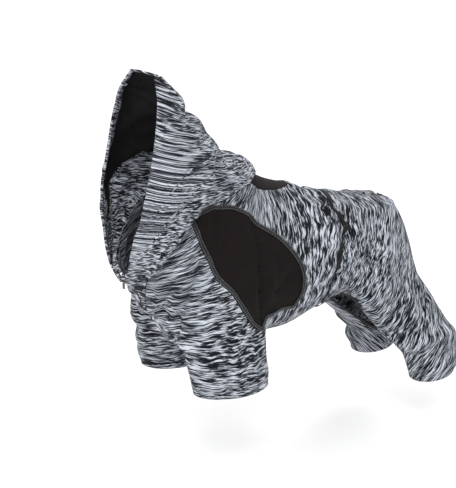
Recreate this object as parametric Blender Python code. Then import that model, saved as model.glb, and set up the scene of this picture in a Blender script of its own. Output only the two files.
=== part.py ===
"""Dog hoodie: a hooded suit for a dog in heather jersey with black panels.

Metres, +Z up, +X toward the tail, -Y the dog's left side.  The origin is the
point on the dog's back, inside the cloth, that carries the suit.
"""
import bpy
import numpy as np

# driving dimensions in metres
BODY_LENGTH = 0.430
BODY_DEPTH = 0.221
BODY_WIDTH = 0.158
CLOTH = 0.0016
LINING_CLOTH = 0.0012
SEAM_GAP = 0.0005
LAYER_GAP = 0.0005
BAND_LIFT = 0.0010
TRIM_WIDTH = 0.0055
TRIM_CLOTH = 0.0009
WAIST_BAND_WIDTH = 0.0060
BINDING_WIDTH = 0.0050
FACING_WIDTH = 0.024
HOOD_CLEARANCE = 0.0030
HOOD_RISE = 0.0011
FOLD_SCALE = 1.0
ZIP_OPENING = 0.0064
TAPE_THICK = 0.0008
TAPE_REACH = 0.0016
ZIP_FOOT_GAP = 0.0008
TEETH_WIDTH = 0.0030
TEETH_THICK = 0.0018
TOOTH_PITCH = 0.0030
SLIDER_LENGTH = 0.0085
SLIDER_WIDTH = 0.0056
SLIDER_PLATE = 0.0010
BRIDGE_HEIGHT = 0.0028
BRIDGE_WIDTH = 0.0014
PULL_LENGTH = 0.0165
PULL_WIDTH = 0.0046
PULL_THICK = 0.0012
PULL_EYE = 0.0024
STEP = 0.0196


def table(columns, *rows):
    """Named columns over a short table."""
    return {n: np.array([r[i] for r in rows], float) for i, n in enumerate(columns.split())}


# cross-sections, in shares of the body's length, depth and width
TORSO = table("x top bottom half_width",
    (-0.535, -0.054, -0.543, 0.215),
    (-0.477, 0.063, -0.724, 0.354),
    (-0.372, 0.154, -0.842, 0.456),
    (-0.233, 0.172, -0.828, 0.5),
    (-0.093, 0.122, -0.828, 0.494),
    (0.047, 0.036, -0.751, 0.456),
    (0.174, -0.036, -0.692, 0.418),
    (0.279, -0.09, -0.733, 0.405),
    (0.349, -0.118, -0.769, 0.329),
    (0.395, -0.235, -0.747, 0.266),
    (0.442, -0.398, -0.679, 0.152),
    (0.465, -0.498, -0.566, 0.076))
NECK = table("q shift half_length half_width",
    (-0.302, 0.023, 0.186, 0.316),
    (-0.209, 0.009, 0.214, 0.38),
    (-0.116, 0.005, 0.235, 0.411),
    (0, 0, 0.244, 0.392),
    (0.116, -0.014, 0.209, 0.354),
    (0.233, -0.028, 0.167, 0.316))
FORELEG = table("z x y half_length half_width",
    (-1.086, -0.328, -0.43, 0.126, 0.234),
    (-0.86, -0.342, -0.411, 0.137, 0.234),
    (-0.679, -0.351, -0.38, 0.147, 0.228),
    (-0.452, -0.367, -0.342, 0.144, 0.203),
    (-0.226, -0.391, -0.304, 0.116, 0.152),
    (-0.045, -0.395, -0.278, 0.07, 0.089))
HINDLEG = table("z x y half_length half_width",
    (-1.403, 0.451, -0.443, 0.063, 0.171),
    (-1.312, 0.458, -0.443, 0.067, 0.184),
    (-1.222, 0.465, -0.437, 0.084, 0.209),
    (-1.131, 0.465, -0.424, 0.1, 0.228),
    (-1.063, 0.451, -0.405, 0.114, 0.241),
    (-0.905, 0.391, -0.367, 0.13, 0.247),
    (-0.724, 0.33, -0.323, 0.137, 0.234),
    (-0.543, 0.288, -0.272, 0.128, 0.209),
    (-0.271, 0.274, -0.222, 0.102, 0.165),
    (-0.136, 0.274, -0.19, 0.07, 0.101))
SEAT = table("z x y half_length half_width",
    (-1.122, 0.472, 0, 0.028, 0.139),
    (-1.041, 0.465, 0, 0.056, 0.19),
    (-0.905, 0.447, 0, 0.077, 0.228),
    (-0.724, 0.409, 0, 0.093, 0.241),
    (-0.543, 0.367, 0, 0.093, 0.215))
SPINE = table("s x y z tilt",
    (-0.5, -0.495, 0, 0.213, 58),
    (0, -0.409, 0, -0.054, 58),
    (0.25, -0.349, 0, -0.226, 40),
    (0.5, -0.256, 0, -0.326, 16),
    (0.75, -0.093, 0, -0.344, 6),
    (1, 0.121, 0, -0.362, 17),
    (1.3, 0.302, 0, -0.407, 15))
FORE_LINE = table("s x y z tilt",
    (-0.4, -0.453, -0.127, 0.136, 58),
    (0, -0.423, -0.177, 0, 62),
    (0.35, -0.372, -0.278, -0.271, 74),
    (0.65, -0.349, -0.367, -0.588, 86),
    (0.8, -0.342, -0.411, -0.837, 90),
    (1.05, -0.335, -0.43, -1.109, 90))
HIND_LINE = table("s x y z tilt",
    (-0.3, 0.023, -0.165, -0.362, 8),
    (0, 0.121, -0.165, -0.389, 12),
    (0.3, 0.256, -0.215, -0.507, 34),
    (0.6, 0.353, -0.316, -0.747, 58),
    (0.8, 0.442, -0.405, -1.032, 74),
    (1, 0.458, -0.443, -1.312, 82),
    (1.05, 0.458, -0.443, -1.376, 84))
ZIP_LINE = table("x y z",
    (-0.619, -0.02, -0.299),
    (-0.588, -0.02, -0.421))
ARM_FRONT = table("x y z",
    (-0.516, -0.076, -0.67),
    (-0.465, -0.114, -0.778),
    (-0.4, -0.158, -0.851),
    (-0.342, -0.177, -0.869))
ARM_REAR = table("x y z",
    (-0.342, -0.177, -0.869),
    (-0.274, -0.19, -0.851),
    (-0.228, -0.285, -0.805),
    (-0.216, -0.43, -0.747))
ARM_IN = table("x y z",
    (-0.342, -0.177, -0.869),
    (-0.34, -0.19, -0.973),
    (-0.337, -0.196, -1.045))
CUT = table("x y z",
    (0.165, -0.285, -0.719),
    (0.274, -0.266, -0.824),
    (0.344, -0.241, -0.946),
    (0.4, -0.19, -1.059),
    (0.437, -0.101, -1.104),
    (0.465, 0, -1.1))
RISE_TOP = table("x y z",
    (0.233, 0, -0.059),
    (0.349, 0, -0.122))
RISE_TAIL = table("x y z",
    (0.349, 0, -0.122),
    (0.363, -0.076, -0.163),
    (0.386, -0.12, -0.249),
    (0.412, -0.12, -0.339),
    (0.435, -0.076, -0.416),
    (0.451, 0, -0.471))
RISE_LOW = table("x y z",
    (0.451, 0, -0.471),
    (0.479, 0, -0.611),
    (0.502, 0, -0.769),
    (0.516, 0, -0.95),
    (0.498, 0, -1.068),
    (0.465, 0, -1.1))
LEG_IN = table("x y z",
    (0.465, 0, -1.1),
    (0.46, -0.19, -1.131),
    (0.458, -0.253, -1.204),
    (0.458, -0.259, -1.271))
HOOD = table("back_x back_z front_x front_z gap half_width lift",
    (-0.186, 0.163, -0.595, -0.348, 0.057, 0.456, 0.226),
    (-0.158, 0.195, -0.623, -0.317, 0.108, 0.494, 0.262),
    (-0.158, 0.244, -0.637, -0.235, 0.165, 0.5, 0.271),
    (-0.193, 0.308, -0.64, -0.154, 0.203, 0.494, 0.253),
    (-0.24, 0.33, -0.637, -0.045, 0.253, 0.481, 0.217),
    (-0.291, 0.398, -0.63, 0.1, 0.342, 0.462, 0.172),
    (-0.342, 0.534, -0.609, 0.281, 0.354, 0.437, 0.118),
    (-0.379, 0.62, -0.591, 0.443, 0.361, 0.418, 0.063),
    (-0.407, 0.661, -0.577, 0.588, 0.354, 0.392, 0.036),
    (-0.437, 0.76, -0.56, 0.76, 0.316, 0.342, 0.018),
    (-0.488, 0.873, -0.542, 0.896, 0.19, 0.215, 0))

# seams on the trunk: share along the spine line and angle from the top, in degrees
NECK_CHEST = table("s t", (-0.17, 138), (-0.09, 158), (0, 177))
NECK_SLEEVE = table("s t", (-0.25, 97), (-0.22, 118), (-0.17, 138))
NECK_PANEL = table("s t", (-0.17, 62), (-0.22, 80), (-0.25, 97))
NECK_BACK = table("s t", (-0.03, 20), (-0.09, 42), (-0.17, 62))
NECK_LEAF = table("s t", (-0.02, 0), (-0.03, 20))
REAR_RAGLAN = table("s t", (-0.25, 97), (-0.02, 103.5), (0.158, 108.8), (0.351, 112.4), (0.469, 122.9),
                    (0.588, 133.5))
PANEL_REAR = table("s t", (-0.17, 62), (0, 46), (0.202, 41.8), (0.45, 45), (0.618, 54.1), (0.751, 80.6),
                   (0.78, 93), (0.796, 115.9), (0.77, 133))
LEAF_EDGE = table("s t", (-0.03, 20), (0.35, 20), (0.56, 20.5), (0.68, 18), (0.766, 12), (0.80, 5), (0.81, 0))
TOP_LINE = table("s t", (0.81, 0), (0.945, 0))
WAIST = table("s t", (0.945, 0), (0.93, 28), (0.96, 42), (0.975, 56), (0.96, 70), (0.96, 104), (0.955, 121))
WAIST_LOW = table("s t", (0.955, 121), (0.945, 134), (0.985, 153))
BELLY_HEM = table("s t", (0.985, 153), (1.01, 166), (1.03, 180))
BELLY_PANEL = table("s t", (0.588, 133.5), (0.65, 132), (0.77, 133))
BELLY_BACK = table("s t", (0.77, 133), (0.825, 127), (0.90, 121.2), (0.955, 121))
FRONT_RAGLAN = table("s t", (-0.17, 138), (-0.02, 147), (0.01, 152.9), (0.054, 161.8), (0.1, 167.1),
                     (0.13, 170.6), (0.188, 175.5))
BELLY_CENTRE = table("s t", (0.188, 180), (0.3, 180), (0.5, 180), (0.75, 180), (1.03, 180))

# folds: from one place on a guide line to another, width and height in metres, side -1 left 1 right 0 both
TRUNK_FOLDS = table("s0 t0 s1 t1 width height side",
    (0.86, 4, 0.885, 34, 0.009, -0.0035, 0), (0.82, 8, 0.85, 48, 0.011, 0.003, 0),
    (0.90, 30, 0.90, 75, 0.010, 0.003, -1), (0.88, 60, 0.85, 108, 0.012, 0.0025, 0),
    (0.70, 30, 0.74, 62, 0.013, 0.002, 0), (0.90, 88, 0.87, 118, 0.009, -0.002, 0),
    (0.42, 60, 0.66, 112, 0.012, 0.0025, -1), (0.60, 84, 0.66, 128, 0.010, 0.003, 0),
    (0.20, 60, 0.34, 98, 0.012, 0.002, 0), (0.70, 98, 0.62, 128, 0.008, -0.003, -1),
    (0.05, 70, 0.10, 100, 0.010, 0.002, 1))
FORE_FOLDS = table("s0 t0 s1 t1 width height side",
    (0.22, 110, 0.62, 195, 0.012, 0.004, 0), (0.30, 128, 0.66, 215, 0.009, -0.004, 0),
    (0.45, 90, 0.74, 190, 0.012, 0.0035, 0), (0.62, 205, 0.80, 150, 0.010, 0.0035, -1),
    (0.60, 60, 0.86, 140, 0.011, 0.003, 0), (0.80, 60, 0.90, 150, 0.010, 0.0025, 0),
    (0.70, 235, 0.78, 170, 0.009, -0.0035, 0), (0.90, 20, 0.96, 100, 0.010, 0.002, 0),
    (0.10, 120, 0.30, 165, 0.012, 0.002, 1))
HIND_FOLDS = table("s0 t0 s1 t1 width height side",
    (0.06, 20, 0.10, 80, 0.010, 0.004, 0), (0.14, 30, 0.18, 110, 0.010, -0.003, 0),
    (0.20, 10, 0.26, 70, 0.012, 0.003, 0), (0.26, 60, 0.44, 140, 0.013, 0.003, -1),
    (0.62, 150, 0.66, 40, 0.011, 0.004, 0), (0.70, 160, 0.74, 50, 0.009, -0.004, 0),
    (0.76, 150, 0.80, 30, 0.010, 0.0045, 0), (0.84, 140, 0.86, 20, 0.008, -0.003, 0),
    (0.90, 150, 0.92, 10, 0.009, 0.004, 0), (0.50, 30, 0.62, 100, 0.012, 0.003, 0))
HOOD_FOLDS = table("row0 col0 row1 col1 width height side",
    (0.16, 0.20, 0.30, 0.70, 0.013, 0.005, 0), (0.36, 0.05, 0.30, 0.55, 0.010, -0.006, 0),
    (0.46, 0.10, 0.36, 0.75, 0.014, 0.004, 0), (0.62, 0.10, 0.45, 0.80, 0.013, 0.003, -1),
    (0.74, 0.05, 0.60, 0.60, 0.010, -0.003, 0), (0.86, 0.10, 0.78, 0.70, 0.011, 0.0025, 0),
    (0.22, 0.75, 0.42, 0.95, 0.011, -0.003, 0))


def curve(x, xs, ys):
    """Smooth curve through the rows of a table, never past its neighbours."""
    x = np.clip(x, xs[0], xs[-1])
    h = np.diff(xs)
    d = np.diff(ys)/h
    m = np.zeros_like(ys)
    same = d[:-1]*d[1:] > 0
    m[1:-1] = np.where(same, 2*d[:-1]*d[1:]/np.where(same, d[:-1]+d[1:], 1), 0)
    m[0], m[-1] = d[0], d[-1]
    i = np.clip(np.searchsorted(xs, x, side="right")-1, 0, len(xs)-2)
    t = (x-xs[i])/h[i]
    a = (2*t**3-3*t**2+1)*ys[i] + (t**3-2*t**2+t)*h[i]*m[i]
    return a + (-2*t**3+3*t**2)*ys[i+1] + (t**3-t**2)*h[i]*m[i+1]


def at(t, key, column, x):
    return curve(x, t[key], t[column])


def sized(t, **sizes):
    """A table's shares turned into metres."""
    return {n: v*sizes.get(n, 1.0) for n, v in t.items()}


def limb_sizes(t):
    return sized(t, z=BODY_DEPTH, x=BODY_LENGTH, y=BODY_WIDTH, half_length=BODY_LENGTH, half_width=BODY_WIDTH)


def point_sizes(t):
    return sized(t, x=BODY_LENGTH, y=BODY_WIDTH, z=BODY_DEPTH)


TRUNK = sized(TORSO, x=BODY_LENGTH, top=BODY_DEPTH, bottom=BODY_DEPTH, half_width=BODY_WIDTH)
COLLAR = sized(NECK, q=BODY_LENGTH, shift=BODY_LENGTH, half_length=BODY_LENGTH, half_width=BODY_WIDTH)
FORE = limb_sizes(FORELEG)
HIND = limb_sizes(HINDLEG)
RUMP = limb_sizes(SEAT)
SPINE_M = point_sizes(SPINE)
FORE_M = point_sizes(FORE_LINE)
HIND_M = point_sizes(HIND_LINE)
NECK_UP = np.array([-0.53, 0, 0.848])
NECK_BACKWARD = np.array([0.848, 0, 0.53])
NECK_FOOT = np.array([-0.409*BODY_LENGTH, 0, -0.054*BODY_DEPTH])


def oval(a, b, p, q):
    return (np.sqrt((p/a)**2 + (q/b)**2)-1)*np.minimum(a, b)


def trunk(p):
    x, y, z = p[..., 0], p[..., 1], p[..., 2]
    top, bottom, w = (at(TRUNK, "x", c, x) for c in ("top", "bottom", "half_width"))
    mid = 0.45*top + 0.55*bottom
    f = oval(w, np.where(z > mid, top-mid, mid-bottom), y, z-mid)
    return np.maximum(f, np.maximum(x-TRUNK["x"][-1], TRUNK["x"][0]-x))


def collar(p):
    r = p-NECK_FOOT
    q = r @ NECK_UP
    a = at(COLLAR, "q", "half_length", q)
    f = oval(a, at(COLLAR, "q", "half_width", q), r @ NECK_BACKWARD-at(COLLAR, "q", "shift", q), p[..., 1])
    return np.maximum(f, np.maximum(q-COLLAR["q"][-1], COLLAR["q"][0]-q))


def limb(p, t):
    z = p[..., 2]
    across = np.abs(p[..., 1])+at(t, "z", "y", z)
    f = oval(at(t, "z", "half_length", z), at(t, "z", "half_width", z), p[..., 0]-at(t, "z", "x", z), across)
    return np.maximum(f, np.maximum(z-t["z"][-1], t["z"][0]-z))


def blend(a, b, k):
    h = np.clip(0.5+0.5*(b-a)/k, 0, 1)
    return b*(1-h)+a*h-k*h*(1-h)


def field(p):
    """Below nought inside the dressed body, above nought outside."""
    f = blend(trunk(p), collar(p), 0.070*BODY_LENGTH)
    f = blend(f, limb(p, FORE), 0.051*BODY_LENGTH)
    f = blend(f, limb(p, HIND), 0.056*BODY_LENGTH)
    return blend(f, limb(p, RUMP), 0.037*BODY_LENGTH)


def normals(p, h=0.0005):
    g = np.stack([field(p+h*e)-field(p-h*e) for e in np.eye(3)], -1)
    return g/np.maximum(np.linalg.norm(g, axis=-1, keepdims=True), 1e-9)


def cast(o, d, steps=110):
    """Where rays from inside leave the body."""
    o, d = np.broadcast_arrays(np.asarray(o, float), np.asarray(d, float))
    d = d/np.linalg.norm(d, axis=-1, keepdims=True)
    rs = np.linspace(0, 0.6*BODY_LENGTH, steps+1)
    lo = np.zeros(o.shape[:-1])
    hi = np.full(o.shape[:-1], rs[-1])
    done = np.zeros(o.shape[:-1], bool)
    before = field(o)
    for r0, r1 in zip(rs[:-1], rs[1:]):
        f = field(o+r1*d)
        hit = (~done) & (before < 0) & (f >= 0)
        lo[hit], hi[hit] = r0, r1
        done |= hit
        before = f
    for _ in range(22):
        mid = 0.5*(lo+hi)
        inside = field(o+mid[..., None]*d) < 0
        lo = np.where(inside, mid, lo)
        hi = np.where(inside, hi, mid)
    return o+(0.5*(lo+hi))[..., None]*d


def snap(p):
    p = np.array(p, float)
    for _ in range(14):
        p = p-0.9*field(p)[..., None]*normals(p)
    return p


def frame(g, s):
    """Centre, up and onward directions of a guide line."""
    o = np.stack([at(g, "s", c, s) for c in "xyz"], -1)
    k = np.radians(at(g, "s", "tilt", s))
    up = np.stack([np.sin(k), 0*k, np.cos(k)], -1)
    onward = np.stack([np.cos(k), 0*k, -np.sin(k)], -1)
    return o, up, onward


def place(g, s, t):
    """Surface point at share s of a guide line and t degrees round it."""
    s, t = np.broadcast_arrays(np.asarray(s, float), np.asarray(t, float))
    o, up, _ = frame(g, s)
    r = np.radians(t)[..., None]
    return cast(o, np.cos(r)*up+np.sin(r)*np.array([0, -1.0, 0]))


def locate(g, p):
    """Share and angle of surface points, the other way round from place."""
    p = np.asarray(p, float)
    ss = np.linspace(g["s"][0], g["s"][-1], 401)
    o, _, onward = frame(g, ss)
    d = np.einsum("...kj,kj->...k", p[..., None, :]-o, onward)
    away = np.linalg.norm(p[..., None, :]-o, axis=-1)
    cross = (d[..., :-1] >= 0) & (d[..., 1:] < 0)
    i = np.argmin(np.where(cross, away[..., :-1], 1e9), -1)
    none = ~cross.any(-1)
    i = np.where(none, np.where(d[..., 0] < 0, 0, len(ss)-2), i)
    a = np.take_along_axis(d, i[..., None], -1)[..., 0]
    b = np.take_along_axis(d, (i+1)[..., None], -1)[..., 0]
    s = ss[i]+np.where(none, 0.0, a/np.where(none, 1.0, a-b))*(ss[1]-ss[0])
    o, up, _ = frame(g, s)
    r = p-o
    return s, np.degrees(np.arctan2(-r[..., 1], np.sum(r*up, -1)))


def on_trunk(t):
    """A seam from a table of shares and angles."""
    u = np.hypot(np.diff(t["s"])*0.33, np.diff(t["t"])*0.0028)
    u = np.concatenate([[0], np.cumsum(u)])
    w = np.linspace(0, u[-1], 61)
    return place(SPINE_M, curve(w, u, t["s"]), curve(w, u, t["t"]))


def on_body(t, first=None, last=None):
    """A seam through a table of places, drawn onto the body."""
    k = np.stack([v for v in point_sizes(t).values()], -1)
    if first is not None:
        k = np.vstack([first, k])
    if last is not None:
        k = np.vstack([k, last])
    u = np.concatenate([[0], np.cumsum(np.linalg.norm(np.diff(k, axis=0), axis=1))])
    w = np.linspace(0, u[-1], 61)
    line = snap(np.stack([curve(w, u, k[:, i]) for i in range(3)], -1))
    if first is not None:
        line[0] = first
    if last is not None:
        line[-1] = last
    return line


def spaced(line, n):
    d = np.concatenate([[0], np.cumsum(np.linalg.norm(np.diff(line, axis=0), axis=1))])
    r = np.linspace(0, d[-1], n+1)
    return np.stack([np.interp(r, d, line[:, i]) for i in range(3)], -1)


def joined(*lines):
    return np.concatenate([lines[0]]+[k[1:] for k in lines[1:]])




def all_seams():
    """The left side's seams, named after the pieces on both sides."""
    s = {n: on_trunk(t) for n, t in (
        ("neck_chest", NECK_CHEST), ("neck_sleeve", NECK_SLEEVE), ("neck_panel", NECK_PANEL),
        ("neck_back", NECK_BACK), ("neck_leaf", NECK_LEAF), ("rear_raglan", REAR_RAGLAN),
        ("panel_rear", PANEL_REAR), ("leaf", LEAF_EDGE), ("top", TOP_LINE), ("waist", WAIST),
        ("waist_low", WAIST_LOW), ("hem", BELLY_HEM), ("belly_panel", BELLY_PANEL),
        ("belly_back", BELLY_BACK), ("front_raglan", FRONT_RAGLAN), ("belly_centre", BELLY_CENTRE))}
    corner, start = s["front_raglan"][-1], s["belly_centre"][0]
    foot = start+(corner-start)*0.5*ZIP_OPENING/abs(corner[1])
    s["zip"] = on_body(ZIP_LINE, last=foot)
    s["zip"][:, 1] = -0.5*ZIP_OPENING
    s["neck_chest"][-1] = s["zip"][0]
    s["arm_front"] = on_body(ARM_FRONT, first=s["front_raglan"][-1])
    s["arm_rear"] = on_body(ARM_REAR, last=s["rear_raglan"][-1])
    s["arm_rear"][0] = s["arm_front"][-1]
    s["arm_in"] = on_body(ARM_IN, first=None)
    s["arm_in"][0] = s["arm_front"][-1]
    s["cut"] = on_body(CUT, first=s["waist_low"][-1])
    s["rise_top"] = on_body(RISE_TOP, first=s["waist"][0])
    s["rise_tail"] = on_body(RISE_TAIL)
    s["rise_low"] = on_body(RISE_LOW)
    s["leg_in"] = on_body(LEG_IN)
    for n in ("rise_top", "rise_tail", "rise_low", "leg_in", "cut"):
        s[n][:, 1] = np.minimum(s[n][:, 1], -0.6*SEAM_GAP)
    for n in ("leaf", "top", "belly_centre"):
        s[n][-1, 1] = 0
    s["top"][:, 1] = 0
    s["belly_centre"][:, 1] = 0
    s["neck_leaf"][0, 1] = 0
    s["hem"][-1] = s["belly_centre"][-1]
    s["rise_tail"][0] = s["rise_top"][-1]
    s["rise_low"][0] = s["rise_tail"][-1]
    s["rise_low"][-1] = s["cut"][-1]
    s["leg_in"][0] = s["cut"][-1]
    return s


def count(line, step):
    d = np.linalg.norm(np.diff(line, axis=0), axis=1).sum()
    return max(2, int(round(d/step)))


def patch(g, left, right, top, bottom):
    """A grid of surface points between four seams, left at the larger angle round the guide."""
    n, m = len(left)-1, len(top)-1
    (sl, tl), (sr, tr) = locate(g, left), locate(g, right)
    tl = tl % 360
    (st, tt), (sb, tb) = locate(g, top), locate(g, bottom)
    for t, start in ((tt, tl[0]), (tb, tl[-1])):
        t[0] = start
        for k in range(1, len(t)):
            t[k] += 360*np.round((t[k-1]-t[k])/360)
    tr = tr.copy()
    tr[0] = tt[-1]
    for k in range(1, len(tr)):
        tr[k] += 360*np.round((tr[k-1]-tr[k])/360)
    u = np.linspace(0, 1, m+1)[None, :]
    v = np.linspace(0, 1, n+1)[:, None]

    def fill(a, b, c, d):
        edge = (1-u)*a[:, None]+u*b[:, None]+(1-v)*c[None, :]+v*d[None, :]
        return edge-((1-u)*(1-v)*a[0]+u*(1-v)*b[0]+(1-u)*v*a[-1]+u*v*b[-1])
    tb = tb+(tr[-1]-tb[-1])*np.linspace(0, 1, m+1)
    grid = place(g, fill(sl, sr, st, sb), fill(tl, tr, tt, tb))
    grid[:, 0], grid[:, -1], grid[0], grid[-1] = left, right, top, bottom
    return grid


def flat_patch(left, right, top, bottom):
    """A grid between four seams, drawn onto the body."""
    n, m = len(left)-1, len(top)-1
    u = np.linspace(0, 1, m+1)[None, :, None]
    v = np.linspace(0, 1, n+1)[:, None, None]
    grid = (1-u)*left[:, None]+u*right[:, None]+(1-v)*top[None]+v*bottom[None]
    grid = grid-((1-u)*(1-v)*left[0]+u*(1-v)*right[0]+(1-u)*v*left[-1]+u*v*right[-1])
    grid = snap(grid)
    grid[:, 0], grid[:, -1], grid[0], grid[-1] = left, right, top, bottom
    return grid


def pulled_in(grid, left=0, right=0, top=0, bottom=0):
    """Draw edges in from their seams: left and right give the number of rows, top and bottom the gaps' share."""
    g = grid.copy()

    def move(edge, inner, share):
        along = np.gradient(edge, axis=0)
        side = np.cross(normals(edge), along)
        side = side/np.maximum(np.linalg.norm(side, axis=-1, keepdims=True), 1e-9)
        share = np.broadcast_to(share, len(edge))[:, None]
        return share*SEAM_GAP*side*np.sign(np.sum(side*(inner-edge)))
    if left:
        g[:left, 0] += move(grid[:, 0], grid[:, 1], 1.0)[:left]
    if right:
        g[:right, -1] += move(grid[:, -1], grid[:, -2], 1.0)[:right]
    g[0] += move(grid[0], grid[1], top)
    g[-1] += move(grid[-1], grid[-2], bottom)
    return g


def mirrored(grid):
    return grid*np.array([1, -1, 1])


def fold_lines():
    """Each fold as a short line of surface points with its width and height."""
    out = []
    for t, g in ((TRUNK_FOLDS, SPINE_M), (FORE_FOLDS, FORE_M), (HIND_FOLDS, HIND_M)):
        for k in range(len(t["s0"])):
            u = np.linspace(0, 1, 9)
            line = place(g, t["s0"][k]+(t["s1"][k]-t["s0"][k])*u, t["t0"][k]+(t["t1"][k]-t["t0"][k])*u)
            for side in (-1, 1):
                if t["side"][k] in (0, side):
                    out.append((line*np.array([1, -side, 1]), t["width"][k], t["height"][k]))
    return out


def line_distance(p, line):
    best = np.full(p.shape[:-1], 1e9)
    for a, b in zip(line[:-1], line[1:]):
        ab = b-a
        u = np.clip(((p-a) @ ab)/max(ab @ ab, 1e-12), 0, 1)
        best = np.minimum(best, np.linalg.norm(p-(a+u[..., None]*ab), axis=-1))
    return best


def relief(p):
    """Height of folds and of the drawn-in waist over the body."""
    h = np.zeros(p.shape[:-1])
    for line, width, height in FOLDS:
        h = h+height*np.exp(-(line_distance(p, line)/width)**2)
    away = line_distance(p*np.array([1, -1, 1])*np.where(p[..., 1:2] > 0, 1, -1)*np.array([0, 1, 0])
                         + p*np.array([1, 0, 1]), SEAMS_WAIST)
    angle = np.arctan2(p[..., 1], p[..., 2]+0.4*BODY_DEPTH)
    gather = 0.0016*np.sin(11*angle)*np.exp(-((away-0.016)/0.010)**2)
    return FOLD_SCALE*(h-0.0030*np.exp(-(away/0.009)**2)+gather)


class Cloth:
    """A piece of cloth on the body: outer points, normals and wall."""

    def __init__(self, grids, wall):
        self.wall = wall
        self.base = grids
        self.turned = [g[:, :, 1].mean() > 0 for g in grids]
        self.normal = [normals(g) for g in grids]
        self.outer = [g+n*relief(g)[..., None] for g, n in zip(grids, self.normal)]


def welded(grids):
    """One list of points for several grids, with shared places made one."""
    keys, points, index, at_grid = {}, [], [], []
    for k, g in enumerate(grids):
        ids = np.empty(g.shape[:2], int)
        for i in range(g.shape[0]):
            for j in range(g.shape[1]):
                key = tuple(np.round(g[i, j]*20000).astype(int))
                if key not in keys:
                    keys[key] = len(at_grid)
                    at_grid.append((k, i, j))
                ids[i, j] = keys[key]
        index.append(ids)
    return index, at_grid


def cells(index, turned=(False,)):
    """Triangles of the grids, the other way about where a grid is mirrored."""
    tris = []
    for ids, turn in zip(index, turned):
        for i in range(ids.shape[0]-1):
            for j in range(ids.shape[1]-1):
                a, b, c, d = ids[i, j], ids[i+1, j], ids[i+1, j+1], ids[i, j+1]
                for t in ((a, b, c), (a, c, d)):
                    if len(set(t)) == 3:
                        tris.append(t[::-1] if turn else t)
    return tris


def walled(outer, inner, tris):
    """Close two skins with a rim: faces of the outer skin, of the inner skin and between them."""
    n = len(outer)
    edges = {}
    for a, b, c in tris:
        for e in ((a, b), (b, c), (c, a)):
            edges[e] = edges.get(e, 0)+1
    faces = [tuple(t) for t in tris]+[(c+n, b+n, a+n) for a, b, c in tris]
    for a, b in edges:
        if (b, a) in edges:
            continue
        if np.linalg.norm(outer[b]-inner[a]) < np.linalg.norm(outer[a]-inner[b]):
            faces += [(b, a, a+n), (b, a+n, b+n)]
        else:
            faces += [(b, a, b+n), (a, a+n, b+n)]
    return np.concatenate([outer, inner]), faces


def volume(points, faces):
    f = np.array(faces)
    a, b, c = points[f[:, 0]], points[f[:, 1]], points[f[:, 2]]
    return float(np.einsum("ij,ij->i", a, np.cross(b, c)).sum()/6)


def paint(name, colour, rough):
    m = bpy.data.materials.new(name)
    m.use_nodes = True
    b = m.node_tree.nodes["Principled BSDF"]
    b.inputs["Base Color"].default_value = (*colour, 1)
    b.inputs["Roughness"].default_value = rough
    m.diffuse_color = (*colour, 1)
    return m


HEATHER = ((0.30, 0.31, 0.34), 0.9)
BLACK = ((0.025, 0.022, 0.023), 0.85)
BAND = ((0.018, 0.018, 0.02), 0.8)
METAL = ((0.16, 0.16, 0.17), 0.35)


def node(name, points, faces, look):
    """One named solid, faces turned outward, standing on the mount's origin."""
    if volume(points, faces) < 0:
        faces = [f[::-1] for f in faces]
    mesh = bpy.data.meshes.new(name)
    mesh.from_pydata([tuple(p) for p in points-REST], [], [tuple(int(v) for v in f) for f in faces])
    mesh.validate()
    ob = bpy.data.objects.new(name, mesh)
    bpy.context.scene.collection.objects.link(ob)
    ob.data.materials.append(paint(name, *look))
    return ob


def cloth_node(name, cloth, look):
    index, where = welded(cloth.base)
    outer = np.array([cloth.outer[k][i, j] for k, i, j in where])
    n = np.array([cloth.normal[k][i, j] for k, i, j in where])
    points, faces = walled(outer, outer-cloth.wall*n, cells(index, cloth.turned))
    return node(name, points, faces, look)


def ribbon(name, sides, lift, wall, look, closed=True):
    """A band whose cross-section has the points and normals of each side in turn."""
    pts = np.stack([p for p, _ in sides], 1)
    nrm = np.stack([n for _, n in sides], 1)
    top, low = pts+nrm*(lift+wall), pts+nrm*lift
    ring = np.concatenate([top, low[:, ::-1]], 1)
    k, m = ring.shape[:2]
    faces = []
    for i in range(k if closed else k-1):
        for j in range(m):
            a, b = i*m+j, i*m+(j+1) % m
            c, d = ((i+1) % k)*m+(j+1) % m, ((i+1) % k)*m+j
            faces += [(a, b, c), (a, c, d)]
    if not closed:
        for j in range(1, m-1):
            faces += [(0, j+1, j), ((k-1)*m, (k-1)*m+j, (k-1)*m+j+1)]
    return node(name, ring.reshape(-1, 3), faces, look)


def step_in(edge, inner, width):
    d = inner-edge
    length = np.maximum(np.linalg.norm(d, axis=-1, keepdims=True), 1e-9)
    return edge+d*np.minimum(width/length, 0.9)


def band_side(edge, inner, edge_normal, inner_normal, width):
    """Points a band's width in from an edge, with the normals there."""
    length = np.maximum(np.linalg.norm(inner-edge, axis=-1, keepdims=True), 1e-9)
    share = np.minimum(width/length, 0.9)
    n = edge_normal*(1-share)+inner_normal*share
    return edge+(inner-edge)*share, n/np.linalg.norm(n, axis=-1, keepdims=True)


def border(grid):
    """Round a grid's edge: the edge places and the places one row in."""
    n, m = grid.shape[0]-1, grid.shape[1]-1
    loop = [(i, 0) for i in range(n)]+[(n, j) for j in range(m)]
    loop += [(i, m) for i in range(n, 0, -1)]+[(0, j) for j in range(m, 0, -1)]
    inner = [(min(max(i, 1), n-1), min(max(j, 1), m-1)) for i, j in loop]
    pick = lambda a, k: np.array([a[i, j] for i, j in k])
    return pick, loop, inner


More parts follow.
